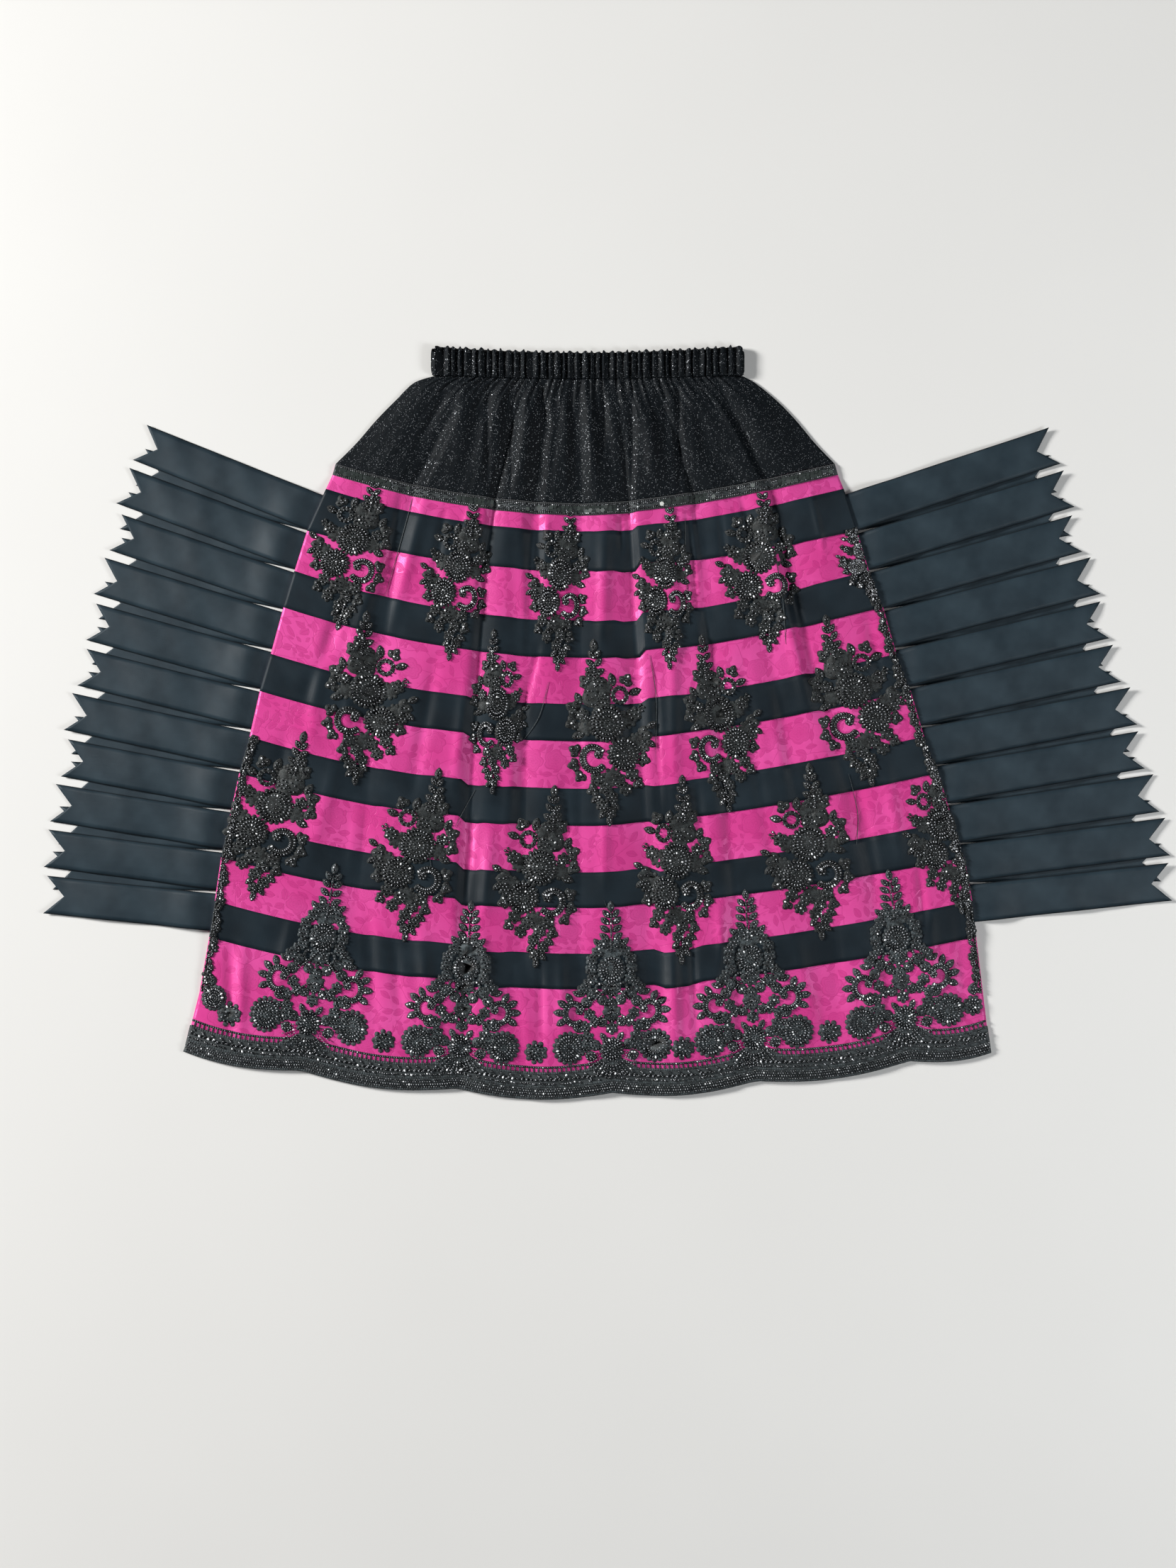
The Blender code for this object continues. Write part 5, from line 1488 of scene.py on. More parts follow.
def make_upper_ribbon(fan, index, ribbon, finish):
    """A ribbon end of the top row: it arches out of the seam, lies on the lower row and curls at its tip."""
    root, heading, length = ribbon
    reach = length + TAIL_TUCK
    rest = UPPER_TAIL_REST + TAIL_CLEARANCE
    levels = [
        (0.0, UPPER_TAIL_ROOT),
        (TAPE_END, UPPER_TAIL_ROOT),
        (ARCH_TOP, UPPER_TAIL_ROOT + bend(ARCH, index)),
        (ARCH_FOOT, rest),
        (WAVE_TOP, rest + bend(WAVE, index)),
        (reach - TAIL_NOTCH, rest),
        (reach, rest + bend(CURL, index)),
    ]
    lean = TAIL_LEAN * math.sin(1.3 * index + 0.5)
    sheet = tail_sheet(root - heading * TAIL_TUCK, heading, reach, smooth_levels(levels), lean,
                       bend(BOW, index), index + (20 if fan.side == "left" else 0))
    number = f"{fan.side}_{index + 1:02d}"
    piece = cloth(f"ribbon_tail_{number}", sheet, TAIL_THICKNESS, f"ribbon_end_{number}",
                  finish)


def make_under_ribbons(fan, ribbons, finish):
    """The lower row of ribbon ends, on one tape inside the seam."""
    sign = -1 if fan.side == "left" else 1
    edge = side_edge(fan)
    seam = (edge[-1] - edge[0]).normalized()
    inward = turned(seam, -sign * math.pi / 2)
    sheets, area = [], 0.0
    for index, (root, direction, length) in enumerate(ribbons[:-1]):
        start = root + inward * TAPE_TUCK
        reach = length - LOWER_TAIL_SHORT
        levels = [(0.0, LOWER_TAIL_ROOT), (TAPE_END, LOWER_TAIL_ROOT), *LOWER_TAIL_LEVELS,
                  (reach, FLOOR_CLEARANCE)]
        sheet = tail_sheet(start, turned(direction, -sign * LOWER_TAIL_TURN), reach, levels, 0.0, 0.0, index)
        sheets.append(sheet._replace(z=np.maximum(sheet.z, LOWER_TAIL_FACE)))
        area += TAIL_WIDTH * (reach - TAIL_NOTCH / 2)
    ends = [ribbons[0][0] + inward * TAPE_TUCK, ribbons[-2][0] + inward * TAPE_TUCK]
    tape = np.array([[ends[0], ends[1]], [ends[0] + inward * TAPE_WIDTH, ends[1] + inward * TAPE_WIDTH]])
    level = np.full((2, 2), LOWER_TAIL_ROOT + RIBBON_WALL)
    sheets.append(Sheet(tape[:, :, 0], tape[:, :, 1], level, tape[:, :, 0], tape[:, :, 1]))
    name = f"under_ribbon_tails_{fan.side}"
    piece = thicken(show(name, joined_mesh(name, sheets), finish), TAIL_THICKNESS)
    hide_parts(f"under_ribbons_{fan.side}")


# Finishes

class Finish:
    """A material under construction, with short calls for the nodes that it is made of."""

    def __init__(self, name, **sockets):
        self.material = bpy.data.materials.new(name)
        self.material.use_nodes = True
        self.tree = self.material.node_tree
        self.shader = self.tree.nodes["Principled BSDF"]
        for socket, value in sockets.items():
            self.shader.inputs[socket.replace("_", " ")].default_value = value

    def join(self, value, socket):
        """Links another node's output to a socket, or gives the socket a plain value."""
        if isinstance(value, bpy.types.NodeSocket):
            self.tree.links.new(value, socket)
        elif value is not None:
            socket.default_value = value

    def node(self, kind, values=(), **settings):
        made = self.tree.nodes.new(kind)
        for name, value in settings.items():
            setattr(made, name, value)
        for key, value in dict(values).items():
            self.join(value, made.inputs[key])
        return made

    def math(self, operation, a, b=None, c=None):
        made = self.node("ShaderNodeMath", operation=operation)
        for socket, value in zip(made.inputs, (a, b, c)):
            self.join(value, socket)
        return made.outputs[0]

    def vector(self, operation, a, b=None):
        made = self.node("ShaderNodeVectorMath", operation=operation)
        for socket, value in zip(made.inputs, (a, b)):
            self.join(value, socket)
        return made.outputs["Vector"]

    def blend(self, share, a, b):
        made = self.node("ShaderNodeMix", data_type="RGBA")
        self.join(share, made.inputs[0])
        self.join(a, made.inputs[6])
        self.join(b, made.inputs[7])
        return made.outputs[2]

    def span(self, value, low, high, to_low=0.0, to_high=1.0):
        """Leads the values from low to high softly over to another range."""
        made = self.node("ShaderNodeMapRange", {0: value, 1: low, 2: high, 3: to_low, 4: to_high},
                         interpolation_type="SMOOTHSTEP")
        return made.outputs[0]

    def cut(self, scale=(1, 1, 1)):
        """The cloth's flat cut, in metres, drawn larger by scale."""
        uv = self.node("ShaderNodeUVMap", uv_map="cut").outputs["UV"]
        return self.node("ShaderNodeMapping", {"Vector": uv, "Scale": scale}).outputs[0]

    def axes(self, vector):
        return self.node("ShaderNodeSeparateXYZ", {0: vector}).outputs

    def chances(self, cell):
        """Three values of a cell's own, each from 0 to 1."""
        return self.node("ShaderNodeSeparateColor", {0: cell.outputs["Color"]}).outputs

    def times(self, a, b):
        return self.math("MULTIPLY", a, b)

    def ribs(self, flat, rate):
        """Waves along the cut, as close threads across it make them."""
        return self.math("SINE", self.times(self.axes(flat)[1], rate))

    def noise(self, vector, scale, detail=2.0):
        made = self.node("ShaderNodeTexNoise", {"Vector": vector, "Scale": scale, "Detail": detail})
        return made.outputs["Fac"]

    def cells(self, vector, scale, feature="F1", randomness=1.0):
        return self.node("ShaderNodeTexVoronoi", {"Vector": vector, "Scale": scale, "Randomness": randomness},
                         feature=feature, voronoi_dimensions="2D")

    def set(self, socket, value):
        self.join(value, self.shader.inputs[socket])

    def relief(self, height, distance):
        made = self.node("ShaderNodeBump", {"Height": height, "Distance": distance})
        self.set("Normal", made.outputs["Normal"])


# Colours of the finishes, from the photo's look
BROCADE_GROUND = (0.540, 0.040, 0.220, 1)
BROCADE_MOTIF = (0.400, 0.015, 0.150, 1)
BROCADE_LINE = (0.330, 0.010, 0.120, 1)
# Paler pink of the soft patches painted in as highlights
BROCADE_PAINTED_HIGHLIGHT = (0.720, 0.105, 0.380, 1)
# Ribbon colours, darker and lighter; the lighter one is painted in soft patches as painted highlights, and in
# fine streaks along the weave
RIBBON_BLACK = ((0.004, 0.008, 0.012, 1), (0.010, 0.018, 0.025, 1))
RIBBON_SLATE = ((0.008, 0.016, 0.023, 1), (0.024, 0.040, 0.052, 1))
RIBBON_EDGE = (0.008, 0.010, 0.012, 1)
KNIT_LIGHT = (0.006, 0.009, 0.012, 1)
KNIT_DARK = (0.002, 0.003, 0.004, 1)
FLECK_SILVER = (0.56, 0.59, 0.63, 1)
LACE_CHARCOAL = ((0.003, 0.004, 0.004, 1), (0.024, 0.029, 0.030, 1))
LACE_GREY = ((0.006, 0.008, 0.009, 1), (0.052, 0.066, 0.072, 1))
BEAD_GLASS = (0.005, 0.006, 0.008, 1)
# Painted highlight on the top of each bead
BEAD_PAINTED_HIGHLIGHT = (0.62, 0.65, 0.70, 1)
# Painted glints: a few beads painted near white all over
BEAD_PAINTED_GLINT = (0.90, 0.92, 0.94, 1)
SEQUIN_DARK = (0.014, 0.019, 0.018, 1)
SEQUIN_LIGHT = (0.085, 0.105, 0.098, 1)
# Painted glints: a rare few sequins painted near white
SEQUIN_PAINTED_GLINT = (0.75, 0.77, 0.72, 1)
NET_THREAD = (0.062, 0.076, 0.080, 1)
NET_CELL = (0.010, 0.013, 0.015, 1)
NET_CORD = (0.044, 0.054, 0.057, 1)
PAPER_DARK = (0.66, 0.655, 0.64, 1)
PAPER_LIGHT = (0.69, 0.685, 0.67, 1)

# Spacing of the brocade's woven roses, leaves and stems, and the fine and coarse glitter of the knit: cells
# to a metre, the share of cells without a fleck and the size of a fleck in its cell
ROSE_SPACING = 0.050
LEAF_SPACING = 0.0175
STEM_SPACING = 0.040
FLECKS = [(750.0, 0.968, 0.30), (1300.0, 0.955, 0.34)]


def rose_parts(finish, spot):
    """Roses of the brocade: how much a point is inside one, and the outlines of its petals."""
    grown = finish.vector("MULTIPLY", spot, (1 / ROSE_SPACING, 1 / ROSE_SPACING, 0))
    cell = finish.cells(grown, 1.0, randomness=0.7)
    away = finish.vector("SUBTRACT", grown, cell.outputs["Position"])
    across, up, _ = finish.axes(away)
    angle = finish.math("ARCTAN2", up, across)
    distance = cell.outputs["Distance"]
    wave = finish.math("MULTIPLY_ADD", angle, 2.5, finish.times(finish.chances(cell)[0], 6.0))
    petal = finish.math("ABSOLUTE", finish.math("SINE", wave))
    edge = finish.math("MULTIPLY_ADD", petal, -0.060, distance)
    inside = finish.span(edge, 0.225, 0.210)
    rings = finish.math("MULTIPLY_ADD", edge, 44.0, angle)
    folds = finish.span(finish.math("ABSOLUTE", finish.math("SINE", rings)), 0.22, 0.06)
    rim = finish.span(finish.math("ABSOLUTE", finish.math("SUBTRACT", edge, 0.218)), 0.014, 0.004)
    return inside, finish.math("MAXIMUM", finish.times(folds, inside), rim)


def leaf_parts(finish, spot, spacing, outside):
    """Pointed leaves, each turned its own way: how much a point is inside one, and on its outline or vein."""
    grown = finish.vector("MULTIPLY", spot, (1 / spacing, 1 / spacing, 0))
    cell = finish.cells(grown, 1.0, randomness=0.75)
    swing = finish.times(finish.chances(cell)[1], 2 * math.pi)
    away = finish.vector("SUBTRACT", grown, cell.outputs["Position"])
    turned_away = finish.node("ShaderNodeVectorRotate", {"Vector": away, "Angle": swing},
                              rotation_type="Z_AXIS").outputs[0]
    lengthwise, crosswise, _ = finish.axes(turned_away)
    along = finish.math("DIVIDE", lengthwise, 0.44)
    half_width = finish.math("MULTIPLY_ADD", finish.times(along, along), -0.21, 0.21)
    beside = finish.math("ABSOLUTE", crosswise)
    margin = finish.math("SUBTRACT", half_width, beside)
    inside = finish.times(finish.span(margin, -0.004, 0.012), outside)
    outline = finish.span(finish.math("ABSOLUTE", finish.math("SUBTRACT", margin, 0.006)), 0.020, 0.006)
    vein = finish.times(finish.span(beside, 0.014, 0.004), finish.span(margin, 0.0, 0.03))
    lines = finish.times(finish.math("MAXIMUM", outline, vein), outside)
    return inside, lines


def brocade():
    """Pink satin with roses, leaves and stems woven in, tone on tone, with soft paler patches painted in as
    highlights.
    """
    finish = Finish("pink_brocade_satin", Specular_IOR_Level=0.6, Specular_Tint=(1.0, 0.35, 0.70, 1.0),
                    Sheen_Weight=0.10, Sheen_Roughness=0.4, Sheen_Tint=(1.0, 0.45, 0.75, 1.0))
    flat = finish.cut()
    drift = finish.node("ShaderNodeTexNoise", {"Vector": flat, "Scale": 60.0, "Detail": 1.0})
    moved = finish.vector("MULTIPLY", finish.vector("SUBTRACT", drift.outputs["Color"], (0.5, 0.5, 0.5)),
                          (0.005, 0.005, 0))
    spot = finish.vector("ADD", flat, moved)
    rose, rose_lines = rose_parts(finish, spot)
    beside_rose = finish.math("SUBTRACT", 1.0, rose)
    large, large_lines = leaf_parts(finish, spot, LEAF_SPACING, beside_rose)
    beside_large = finish.times(beside_rose, finish.math("SUBTRACT", 1.0, large))
    small, small_lines = leaf_parts(finish, spot, 0.6 * LEAF_SPACING, beside_large)
    scarce = finish.span(finish.noise(flat, 24.0), 0.50, 0.56)
    branches = finish.cells(finish.vector("MULTIPLY", spot, (1 / STEM_SPACING, 1.4 / STEM_SPACING, 0)), 1.0,
                            "DISTANCE_TO_EDGE").outputs["Distance"]
    stems = finish.times(finish.span(branches, 0.017, 0.007), beside_large)
    leaves = finish.math("MAXIMUM", large, finish.times(small, scarce))
    motif = finish.math("MAXIMUM", finish.times(rose, 0.62), finish.times(leaves, 0.85))
    lines = finish.math("MAXIMUM", finish.math("MAXIMUM", rose_lines, large_lines),
                        finish.math("MAXIMUM", finish.times(small_lines, scarce), stems))
    # Painted highlights: soft paler patches, where small crumples would catch the light
    painted_cloudy_light = finish.span(finish.noise(flat, 11.0, 3.0), 0.3, 0.7)
    colour = finish.blend(finish.times(painted_cloudy_light, 0.45), BROCADE_GROUND, BROCADE_PAINTED_HIGHLIGHT)
    colour = finish.blend(finish.times(motif, 0.62), colour, BROCADE_MOTIF)
    colour = finish.blend(finish.times(lines, 0.38), colour, BROCADE_LINE)
    finish.set("Base Color", colour)
    finish.set("Roughness", finish.span(motif, 0.0, 0.6, 0.33, 0.55))
    thread = finish.times(finish.ribs(flat, 9000.0), 0.12)
    height = finish.math("ADD", finish.times(lines, -0.6), thread)
    finish.relief(finish.math("ADD", height, finish.noise(flat, 260.0)), 0.00014)
    return finish.material


def ribbon_satin(name, dark, light, width=None):
    """Smooth single-face satin ribbon with fine cross ribs, soft lighter patches painted in as highlights,
    and a woven edge where width is given.
    """
    finish = Finish(name, Specular_IOR_Level=0.18, Sheen_Weight=0.04, Sheen_Roughness=0.35,
                    Sheen_Tint=(0.6, 0.75, 0.85, 1.0))
    flat = finish.cut()
    # Painted highlights: soft patches of the lighter colour
    painted_cloudy_light = finish.span(finish.noise(flat, 16.0, 3.0), 0.30, 0.72)
    colour = finish.blend(painted_cloudy_light, dark, light)
    fibre = finish.noise(finish.cut((1.0, 14.0, 1.0)), 900.0, 1.0)
    colour = finish.blend(finish.span(fibre, 0.35, 0.7, 0.0, 0.35), colour, light)
    if width is not None:
        across = finish.math("ABSOLUTE", finish.axes(flat)[0])
        edge = finish.span(across, width / 2 - 0.0017, width / 2 - 0.0009)
        colour = finish.blend(finish.times(edge, 0.75), colour, RIBBON_EDGE)
    finish.set("Base Color", colour)
    finish.set("Roughness", finish.span(finish.noise(flat, 40.0), 0.3, 0.7, 0.46, 0.54))
    finish.relief(finish.math("ADD", finish.ribs(flat, 7000.0), finish.noise(flat, 600.0)), 0.00004)
    return finish.material


def glitter_knit():
    """Black knit shot with fine silver flecks."""
    finish = Finish("glitter_knit_black", Specular_IOR_Level=0.08, Sheen_Weight=0.03, Sheen_Roughness=0.4,
                    Sheen_Tint=(0.7, 0.75, 0.8, 1.0))
    flat = finish.cut()
    flecks = 0.0
    for scale, rare, size in FLECKS:
        cell = finish.cells(flat, scale)
        chance, shine, _ = finish.chances(cell)
        here = finish.times(finish.math("GREATER_THAN", chance, rare),
                            finish.math("LESS_THAN", cell.outputs["Distance"], size))
        flecks = finish.math("MAXIMUM", flecks, finish.times(here, shine))
    loops = finish.cells(finish.cut((1.0, 1.6, 1.0)), 620.0).outputs["Distance"]
    colour = finish.blend(finish.span(loops, 0.1, 0.6), KNIT_LIGHT, KNIT_DARK)
    finish.set("Base Color", finish.blend(flecks, colour, FLECK_SILVER))
    finish.set("Metallic", finish.times(flecks, 0.5))
    finish.set("Roughness", finish.span(flecks, 0.0, 1.0, 0.60, 0.30))
    grain = finish.math("SUBTRACT", finish.noise(flat, 500.0), finish.times(loops, 1.2))
    finish.relief(grain, 0.00012)
    return finish.material


def lace_cloth(name, dark, light):
    """Corded lace, its threads lighter and darker."""
    finish = Finish(name, Specular_IOR_Level=0.30, Sheen_Weight=0.05, Sheen_Roughness=0.5)
    spot = finish.node("ShaderNodeTexCoord").outputs["Object"]
    threads = finish.noise(spot, 900.0, 2.0)
    strands = finish.noise(spot, 160.0, 2.0)
    colour = finish.blend(finish.span(finish.math("ADD", threads, strands), 0.80, 1.20), dark, light)
    finish.set("Base Color", colour)
    finish.set("Roughness", 0.58)
    finish.relief(finish.math("ADD", threads, strands), 0.00035)
    return finish.material


def glass_beads():
    """Black glass beads with a painted highlight on the top of each, stronger on some than others, and a few
    beads painted near white as painted glints.
    """
    finish = Finish("glass_beads_black", Specular_IOR_Level=0.8)
    chance = finish.node("ShaderNodeAttribute", attribute_name="spark").outputs["Fac"]
    painted_highlight = finish.node("ShaderNodeAttribute", attribute_name="painted_highlight").outputs["Fac"]
    # Painted highlight: the top of each bead is painted lighter, more on some beads than on others
    painted_highlight_share = finish.times(finish.span(painted_highlight, 0.50, 0.95), finish.span(chance, 0.30, 0.97, 0.05, 1.0))
    colour = finish.blend(painted_highlight_share, BEAD_GLASS, BEAD_PAINTED_HIGHLIGHT)
    # Painted glints: a few beads, picked by chance, painted near white all over
    silver = finish.math("GREATER_THAN", chance, 0.965)
    finish.set("Base Color", finish.blend(silver, colour, BEAD_PAINTED_GLINT))
    finish.set("Roughness", finish.span(chance, 0.0, 1.0, 0.14, 0.30))
    return finish.material


def sequin_film():
    """Flat grey-green sequins, some darker than others, and a rare few painted near white as painted glints.
    """
    finish = Finish("sequins_grey_green", Specular_IOR_Level=0.6, Coat_Weight=0.5, Coat_Roughness=0.1)
    chance = finish.node("ShaderNodeAttribute", attribute_name="spark").outputs["Fac"]
    colour = finish.blend(chance, SEQUIN_DARK, SEQUIN_LIGHT)
    # Painted glints: a rare few sequins, picked by chance, painted near white
    painted_glint_sequins = finish.math("GREATER_THAN", chance, 0.985)
    finish.set("Base Color", finish.blend(painted_glint_sequins, colour, SEQUIN_PAINTED_GLINT))
    finish.set("Metallic", finish.span(chance, 0.0, 1.0, 0.25, 0.75))
    finish.set("Roughness", finish.span(chance, 0.0, 1.0, 0.32, 0.18))
    return finish.material


def net_cloth():
    """The black net of the border, dense enough to look solid, with its open cells as darker dots."""
    finish = Finish("net_black", Specular_IOR_Level=0.3, Sheen_Weight=0.2)
    mesh_cells = finish.cells(finish.cut(), 520.0, "DISTANCE_TO_EDGE", 0.35).outputs["Distance"]
    rows = finish.noise(finish.cut((1.0, 3.0, 1.0)), 120.0, 2.0)
    colour = finish.blend(finish.span(mesh_cells, 0.02, 0.14), NET_THREAD, NET_CELL)
    colour = finish.blend(finish.span(rows, 0.48, 0.66, 0.0, 0.6), colour, NET_CORD)
    finish.set("Base Color", colour)
    finish.set("Roughness", 0.60)
    finish.relief(finish.math("SUBTRACT", rows, mesh_cells), 0.0003)
    return finish.material


def floor_paper():
    """The plain pale floor."""
    finish = Finish("pale_floor", Roughness=0.9, Specular_IOR_Level=0.2)
    spot = finish.node("ShaderNodeTexCoord").outputs["Object"]
    finish.set("Base Color", finish.blend(finish.noise(spot, 3.0), PAPER_DARK, PAPER_LIGHT))
    return finish.material


# Sequin trim

TRIM_STEPS = 252
TRIM_ENDS = (-0.319, 0.312)
TRIM_THICKNESS = 0.0006
TRIM_EDGE = 0.0012
TRIM_LANES = (0.36, 0.66)


def make_trim(front, index_of, finishes):
    """The trim over the yoke seam: a corded braid with patches of sequins and of beads."""
    foot = index_of["trim_foot"]
    strip = raised(cut_rows(front, 0, foot), ON_SATIN + TRIM_THICKNESS)
    base = cloth("sequin_trim_base", strip, TRIM_THICKNESS, "sequin_trim", finishes[0])
    work = Handwork(Ground(strip))
    top_y, foot_y = front.y[0], front.y[foot]
    for number in range(TRIM_STEPS):
        x = mix(*TRIM_ENDS, (number + 0.5) / TRIM_STEPS)
        upper = float(np.interp(x, front.x[0], top_y))
        lower = float(np.interp(x, front.x[foot], foot_y))
        slope = math.atan2(float(np.interp(x + 0.003, front.x[0], top_y))
                           - float(np.interp(x - 0.003, front.x[0], top_y)), 0.006)
        for edge, y in ((0, upper - TRIM_EDGE), (1, lower + TRIM_EDGE)):
            lean = 0.5 if (number + edge) % 2 else -0.5
            work.put("cord", x, y, 0.0017, width=0.0010, height=0.0009, turn=slope + lean)
            work.put("bead", x, y + (0.0016 if edge else -0.0016), 0.0009, height=0.0009, lift=0.0006)
        if number % 2 == 0:
            patch = math.sin(number * 0.115) + 0.6 * math.sin(number * 0.043 + 2)
            for lane in TRIM_LANES:
                y = mix(lower, upper, lane) + 0.0008 * math.sin(number * 1.9 + lane * 9)
                chance = spark(x, lane)
                if patch > 0.05 or chance > 0.90:
                    work.put("sequin", x + 0.0006 * math.sin(number), y, 0.0028, height=0.0010,
                             turn=chance * 6.28, lift=0.0005 + 0.0004 * chance, tilt=0.20 * (chance - 0.5))
                elif chance < 0.8:
                    work.put("bead", x, y, 0.0011, turn=chance * 6, lift=0.0008)
                    work.put("bead", x + 0.0023, y + 0.0010 * math.sin(number), 0.0010, lift=0.0007)
    piece = show("trim_beads", work.mesh("trim_beads"), *finishes)


PLEAT_LINES = 26
PLEAT_HALF_WIDTH = 0.0004
PLEAT_LIFT = 0.0006
PLEAT_THICKNESS = 0.0004
# The part of a half wave that a pleat's width follows, and its height where nothing is found below it
PLEAT_TAPER = (0.08, 0.92)
PLEAT_LEVEL = 0.006


def make_net_pleats(ground, finish):
    """Thin doubled folds of the net where it lies over the front."""
    sheets = []
    for points in NET_PLEATS:
        last = len(points) - 1
        x, y, z = np.zeros((3, PLEAT_LINES, 2))
        for line in range(PLEAT_LINES):
            place = last * line / (PLEAT_LINES - 1)
            px = smooth_through([p[0] for p in points], place)
            py = smooth_through([p[1] for p in points], place)
            half = PLEAT_HALF_WIDTH * math.sin(math.pi * mix(*PLEAT_TAPER, line / (PLEAT_LINES - 1)))
            for column, offset in enumerate((-half, half)):
                level = ground.height(px + offset, py)
                x[line, column], y[line, column] = px + offset, py
                z[line, column] = (level if level is not None else PLEAT_LEVEL) + PLEAT_LIFT
        sheets.append(Sheet(x, y, z, x, y))
    piece = thicken(show("net_pleats", joined_mesh("net_pleats", sheets), finish), PLEAT_THICKNESS)
    return piece


# Putting the skirt together

BACK_COLUMNS = 61
BACK_THICKNESS = BACK_WALL - 0.0001


def flat_sheet(rows, step):
    """The back's face between rows, lying flat."""
    fine, _ = fine_rows(rows, step)
    u = np.linspace(-1, 1, BACK_COLUMNS)[None, :]
    columns = row_columns(fine)
    x, y = places_across(u, *columns)
    down = np.broadcast_to(rows[0].middle_y - columns[0], x.shape)
    return Sheet(x, y, np.full_like(x, BACK_TOP), x.copy(), -down)


def moved(row, rise):
    """A row drawn up or down by a distance."""
    return row._replace(middle_y=row.middle_y + rise, side_y=row.side_y + rise)


def make_back(finishes):
    """The back panel with its bands of ribbon, the back yoke and the lace edge, all lying flat."""
    sheet = flat_sheet(SKIRT_ROWS[:-1], 0.012)
    back = cloth("back_satin", sheet, BACK_THICKNESS, "satin_back", finishes["brocade"])
    back.data.materials.append(finishes["ribbon"])
    bands = np.zeros(len(back.data.polygons), dtype=np.int32)
    for polygon in back.data.polygons:
        depth = -sum(back.data.uv_layers["cut"].data[i].uv.y for i in polygon.loop_indices) / 4
        at = SKIRT_ROWS[0].middle_y - depth
        for number in range(1, RIBBON_COUNT + 1):
            if row_named(f"ribbon_{number}_foot").middle_y < at < row_named(f"ribbon_{number}_top").middle_y:
                bands[polygon.index] = 1
    back.data.polygons.foreach_set("material_index", bands)
    yoke_rows = YOKE_ROWS[:-1] + [moved(YOKE_ROWS[-1], GAP)]
    sheet = flat_sheet(yoke_rows, 0.010)
    yoke = cloth("back_yoke", sheet, BACK_THICKNESS, "yoke_back", finishes["knit"])
    sheet = flat_sheet([moved(row_named("satin_hem"), -GAP), row_named("lace_hem")], 0.004)
    y = sheet.y.copy()
    for column in range(y.shape[1]):
        along = float(sheet.x[-1, column])
        y[1:, column] += np.linspace(0, 1, y.shape[0])[1:] * scallop(along)
    lace = cloth("back_lace_edge", sheet._replace(y=y), BACK_THICKNESS, "lace_border_back",
                 finishes["net"])


SATIN_THICKNESS = 0.0012
KNIT_THICKNESS = 0.0012
RIBBON_THICKNESS = 0.0006
RIBBON_SINK = 0.0003
NET_THICKNESS = 0.0005


def make_front(finishes):
    """The front panel, the six ribbons on it and the front yoke."""
    front, index_of = front_sheet()
    hem = index_of["satin_hem"]
    satin = cloth("front_satin", raised(cut_rows(front, 0, hem), FRONT_WALL), SATIN_THICKNESS, "satin_front",
                  finishes["brocade"])
    for number in range(1, RIBBON_COUNT + 1):
        first, last = index_of[f"ribbon_{number}_top"], index_of[f"ribbon_{number}_foot"]
        strip = raised(cut_rows(front, first, last), ON_SATIN + RIBBON_WALL - RIBBON_SINK)
        ribbon = cloth(f"satin_ribbon_{number}", strip, RIBBON_THICKNESS, f"ribbon_{number}",
                       finishes["ribbon"])
    yoke = cloth("front_yoke", yoke_sheet(front), KNIT_THICKNESS, "yoke_front",
                 finishes["knit"])
    return front, index_of


def make_casing(finish):
    """The gathered ring round the waist elastic."""
    mesh = cloth_mesh("waist_casing", casing_sheet())
    bm = bmesh.new()
    bm.from_mesh(mesh)
    bmesh.ops.remove_doubles(bm, verts=bm.verts[:], dist=0.00001)
    bm.to_mesh(mesh)
    bm.free()
    piece = thicken(show("waist_casing", mesh, finish), CASING_WALL)
    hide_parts("waistband")


def make_lace(front, index_of, finishes):
    """Everything of lace that lies on the front."""
    ground = Ground(over_ribbons(front, index_of))
    beaded_lace = (finishes["lace"], finishes["beads"])
    for number, spray in enumerate(SPRAYS, start=1):
        make_spray(number, spray, ground, beaded_lace)
    border = make_border_beads(ground, (finishes["border"], finishes["beads"]))
    for side in SIDE_LACE_ROWS:
        make_side_lace(side, ground, beaded_lace)
    net = thicken(show("border_net", cloth_mesh("border_net", make_lace_ground(ground)),
                       finishes["net"]), NET_THICKNESS)
    pleats = make_net_pleats(ground, finishes["net"])


CAMERA_HEIGHT = 3.0
FRAME_WIDTH = 1.4931
FRAME_MIDDLE = (0.0, -0.073)
SENSOR_WIDTH = 36.0


def make_camera():
    """The camera, looking straight down as in the photo."""
    lens = bpy.data.cameras.new("camera")
    lens.sensor_fit = "HORIZONTAL"
    lens.sensor_width = SENSOR_WIDTH
    lens.lens = SENSOR_WIDTH * CAMERA_HEIGHT / FRAME_WIDTH
    camera = bpy.data.objects.new("camera", lens)
    camera.location = (*FRAME_MIDDLE, CAMERA_HEIGHT)
    bpy.context.scene.collection.objects.link(camera)
    bpy.context.scene.camera = camera


FLOOR_REACH = 6.0


def make_floor():
    bm = bmesh.new()
    bmesh.ops.create_grid(bm, x_segments=1, y_segments=1, size=FLOOR_REACH)
    mesh = bpy.data.meshes.new("floor")
    bm.to_mesh(mesh)
    bm.free()
    mesh.materials.append(floor_paper())
    floor = bpy.data.objects.new("floor", mesh)
    bpy.context.scene.collection.objects.link(floor)


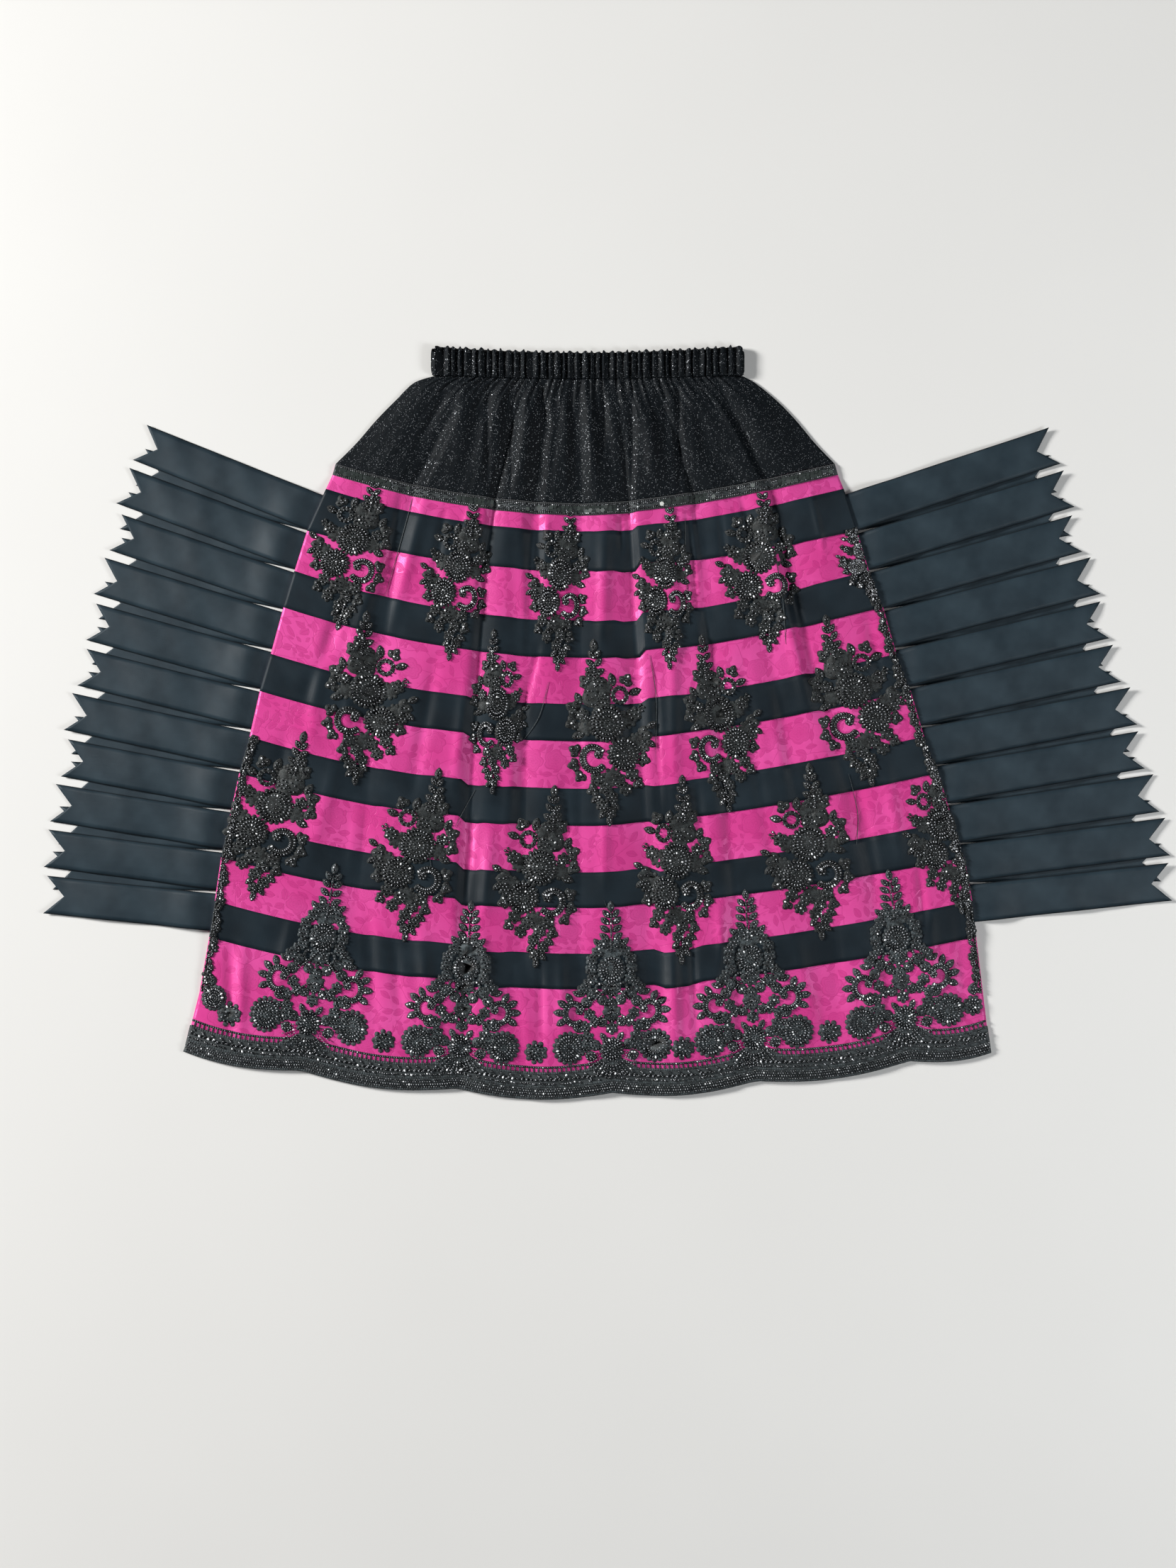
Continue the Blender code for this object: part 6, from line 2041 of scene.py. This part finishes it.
# Soft boxes: where each stands, its width and length, its power and colour
Lamp = namedtuple("Lamp", "name x y z width length power colour")
LAMPS = [
    Lamp("key", -5.4, 1.8, 2.7, 1.4, 1.4, 740, (1.0, 0.99, 0.97)),
    Lamp("fill", 3.0, -0.8, 2.0, 1.2, 1.2, 70, (0.95, 0.98, 1.0)),
    Lamp("left_strip", -0.62, 0.1, 2.7, 0.36, 2.4, 0.8, (1.0, 1.0, 1.0)),
    Lamp("right_strip", 0.75, 0.1, 2.7, 0.36, 2.4, 7.0, (1.0, 1.0, 1.0)),
]
AMBIENT = 0.06
AMBIENT_COLOUR = (0.9, 0.93, 1.0, 1)


def make_lights():
    """The lamps, each turned to the middle of the skirt, and the light from all round."""
    for lamp in LAMPS:
        light = bpy.data.lights.new(lamp.name, "AREA")
        light.shape = "RECTANGLE"
        light.size = lamp.width
        light.size_y = lamp.length
        light.energy = lamp.power
        light.color = lamp.colour
        holder = bpy.data.objects.new(lamp.name, light)
        holder.location = (lamp.x, lamp.y, lamp.z)
        aim = Vector((0, 0, 0)) - Vector(holder.location)
        holder.rotation_euler = aim.to_track_quat("-Z", "Y").to_euler()
        bpy.context.scene.collection.objects.link(holder)
    world = bpy.data.worlds.new("studio")
    world.use_nodes = True
    world.node_tree.nodes["Background"].inputs["Color"].default_value = AMBIENT_COLOUR
    world.node_tree.nodes["Background"].inputs["Strength"].default_value = AMBIENT
    bpy.context.scene.world = world
    bpy.context.scene.view_settings.view_transform = "Standard"


def main():
    finishes = {
        "brocade": brocade(),
        "ribbon": ribbon_satin("ribbon_satin_black", *RIBBON_BLACK),
        "tails": ribbon_satin("ribbon_satin_slate", *RIBBON_SLATE, TAIL_WIDTH),
        "knit": glitter_knit(),
        "lace": lace_cloth("lace_charcoal", *LACE_CHARCOAL),
        "border": lace_cloth("lace_border_grey", *LACE_GREY),
        "beads": glass_beads(),
        "sequins": sequin_film(),
        "net": net_cloth(),
    }
    make_back(finishes)
    front, index_of = make_front(finishes)
    make_casing(finishes["knit"])
    for fan in TAIL_FANS:
        ribbons = fan_ribbons(fan)
        for index, ribbon in enumerate(ribbons):
            make_upper_ribbon(fan, index, ribbon, finishes["tails"])
        make_under_ribbons(fan, ribbons, finishes["tails"])
    make_trim(front, index_of, (finishes["net"], finishes["beads"], finishes["sequins"]))
    make_lace(front, index_of, finishes)
    make_floor()
    make_camera()
    make_lights()


main()
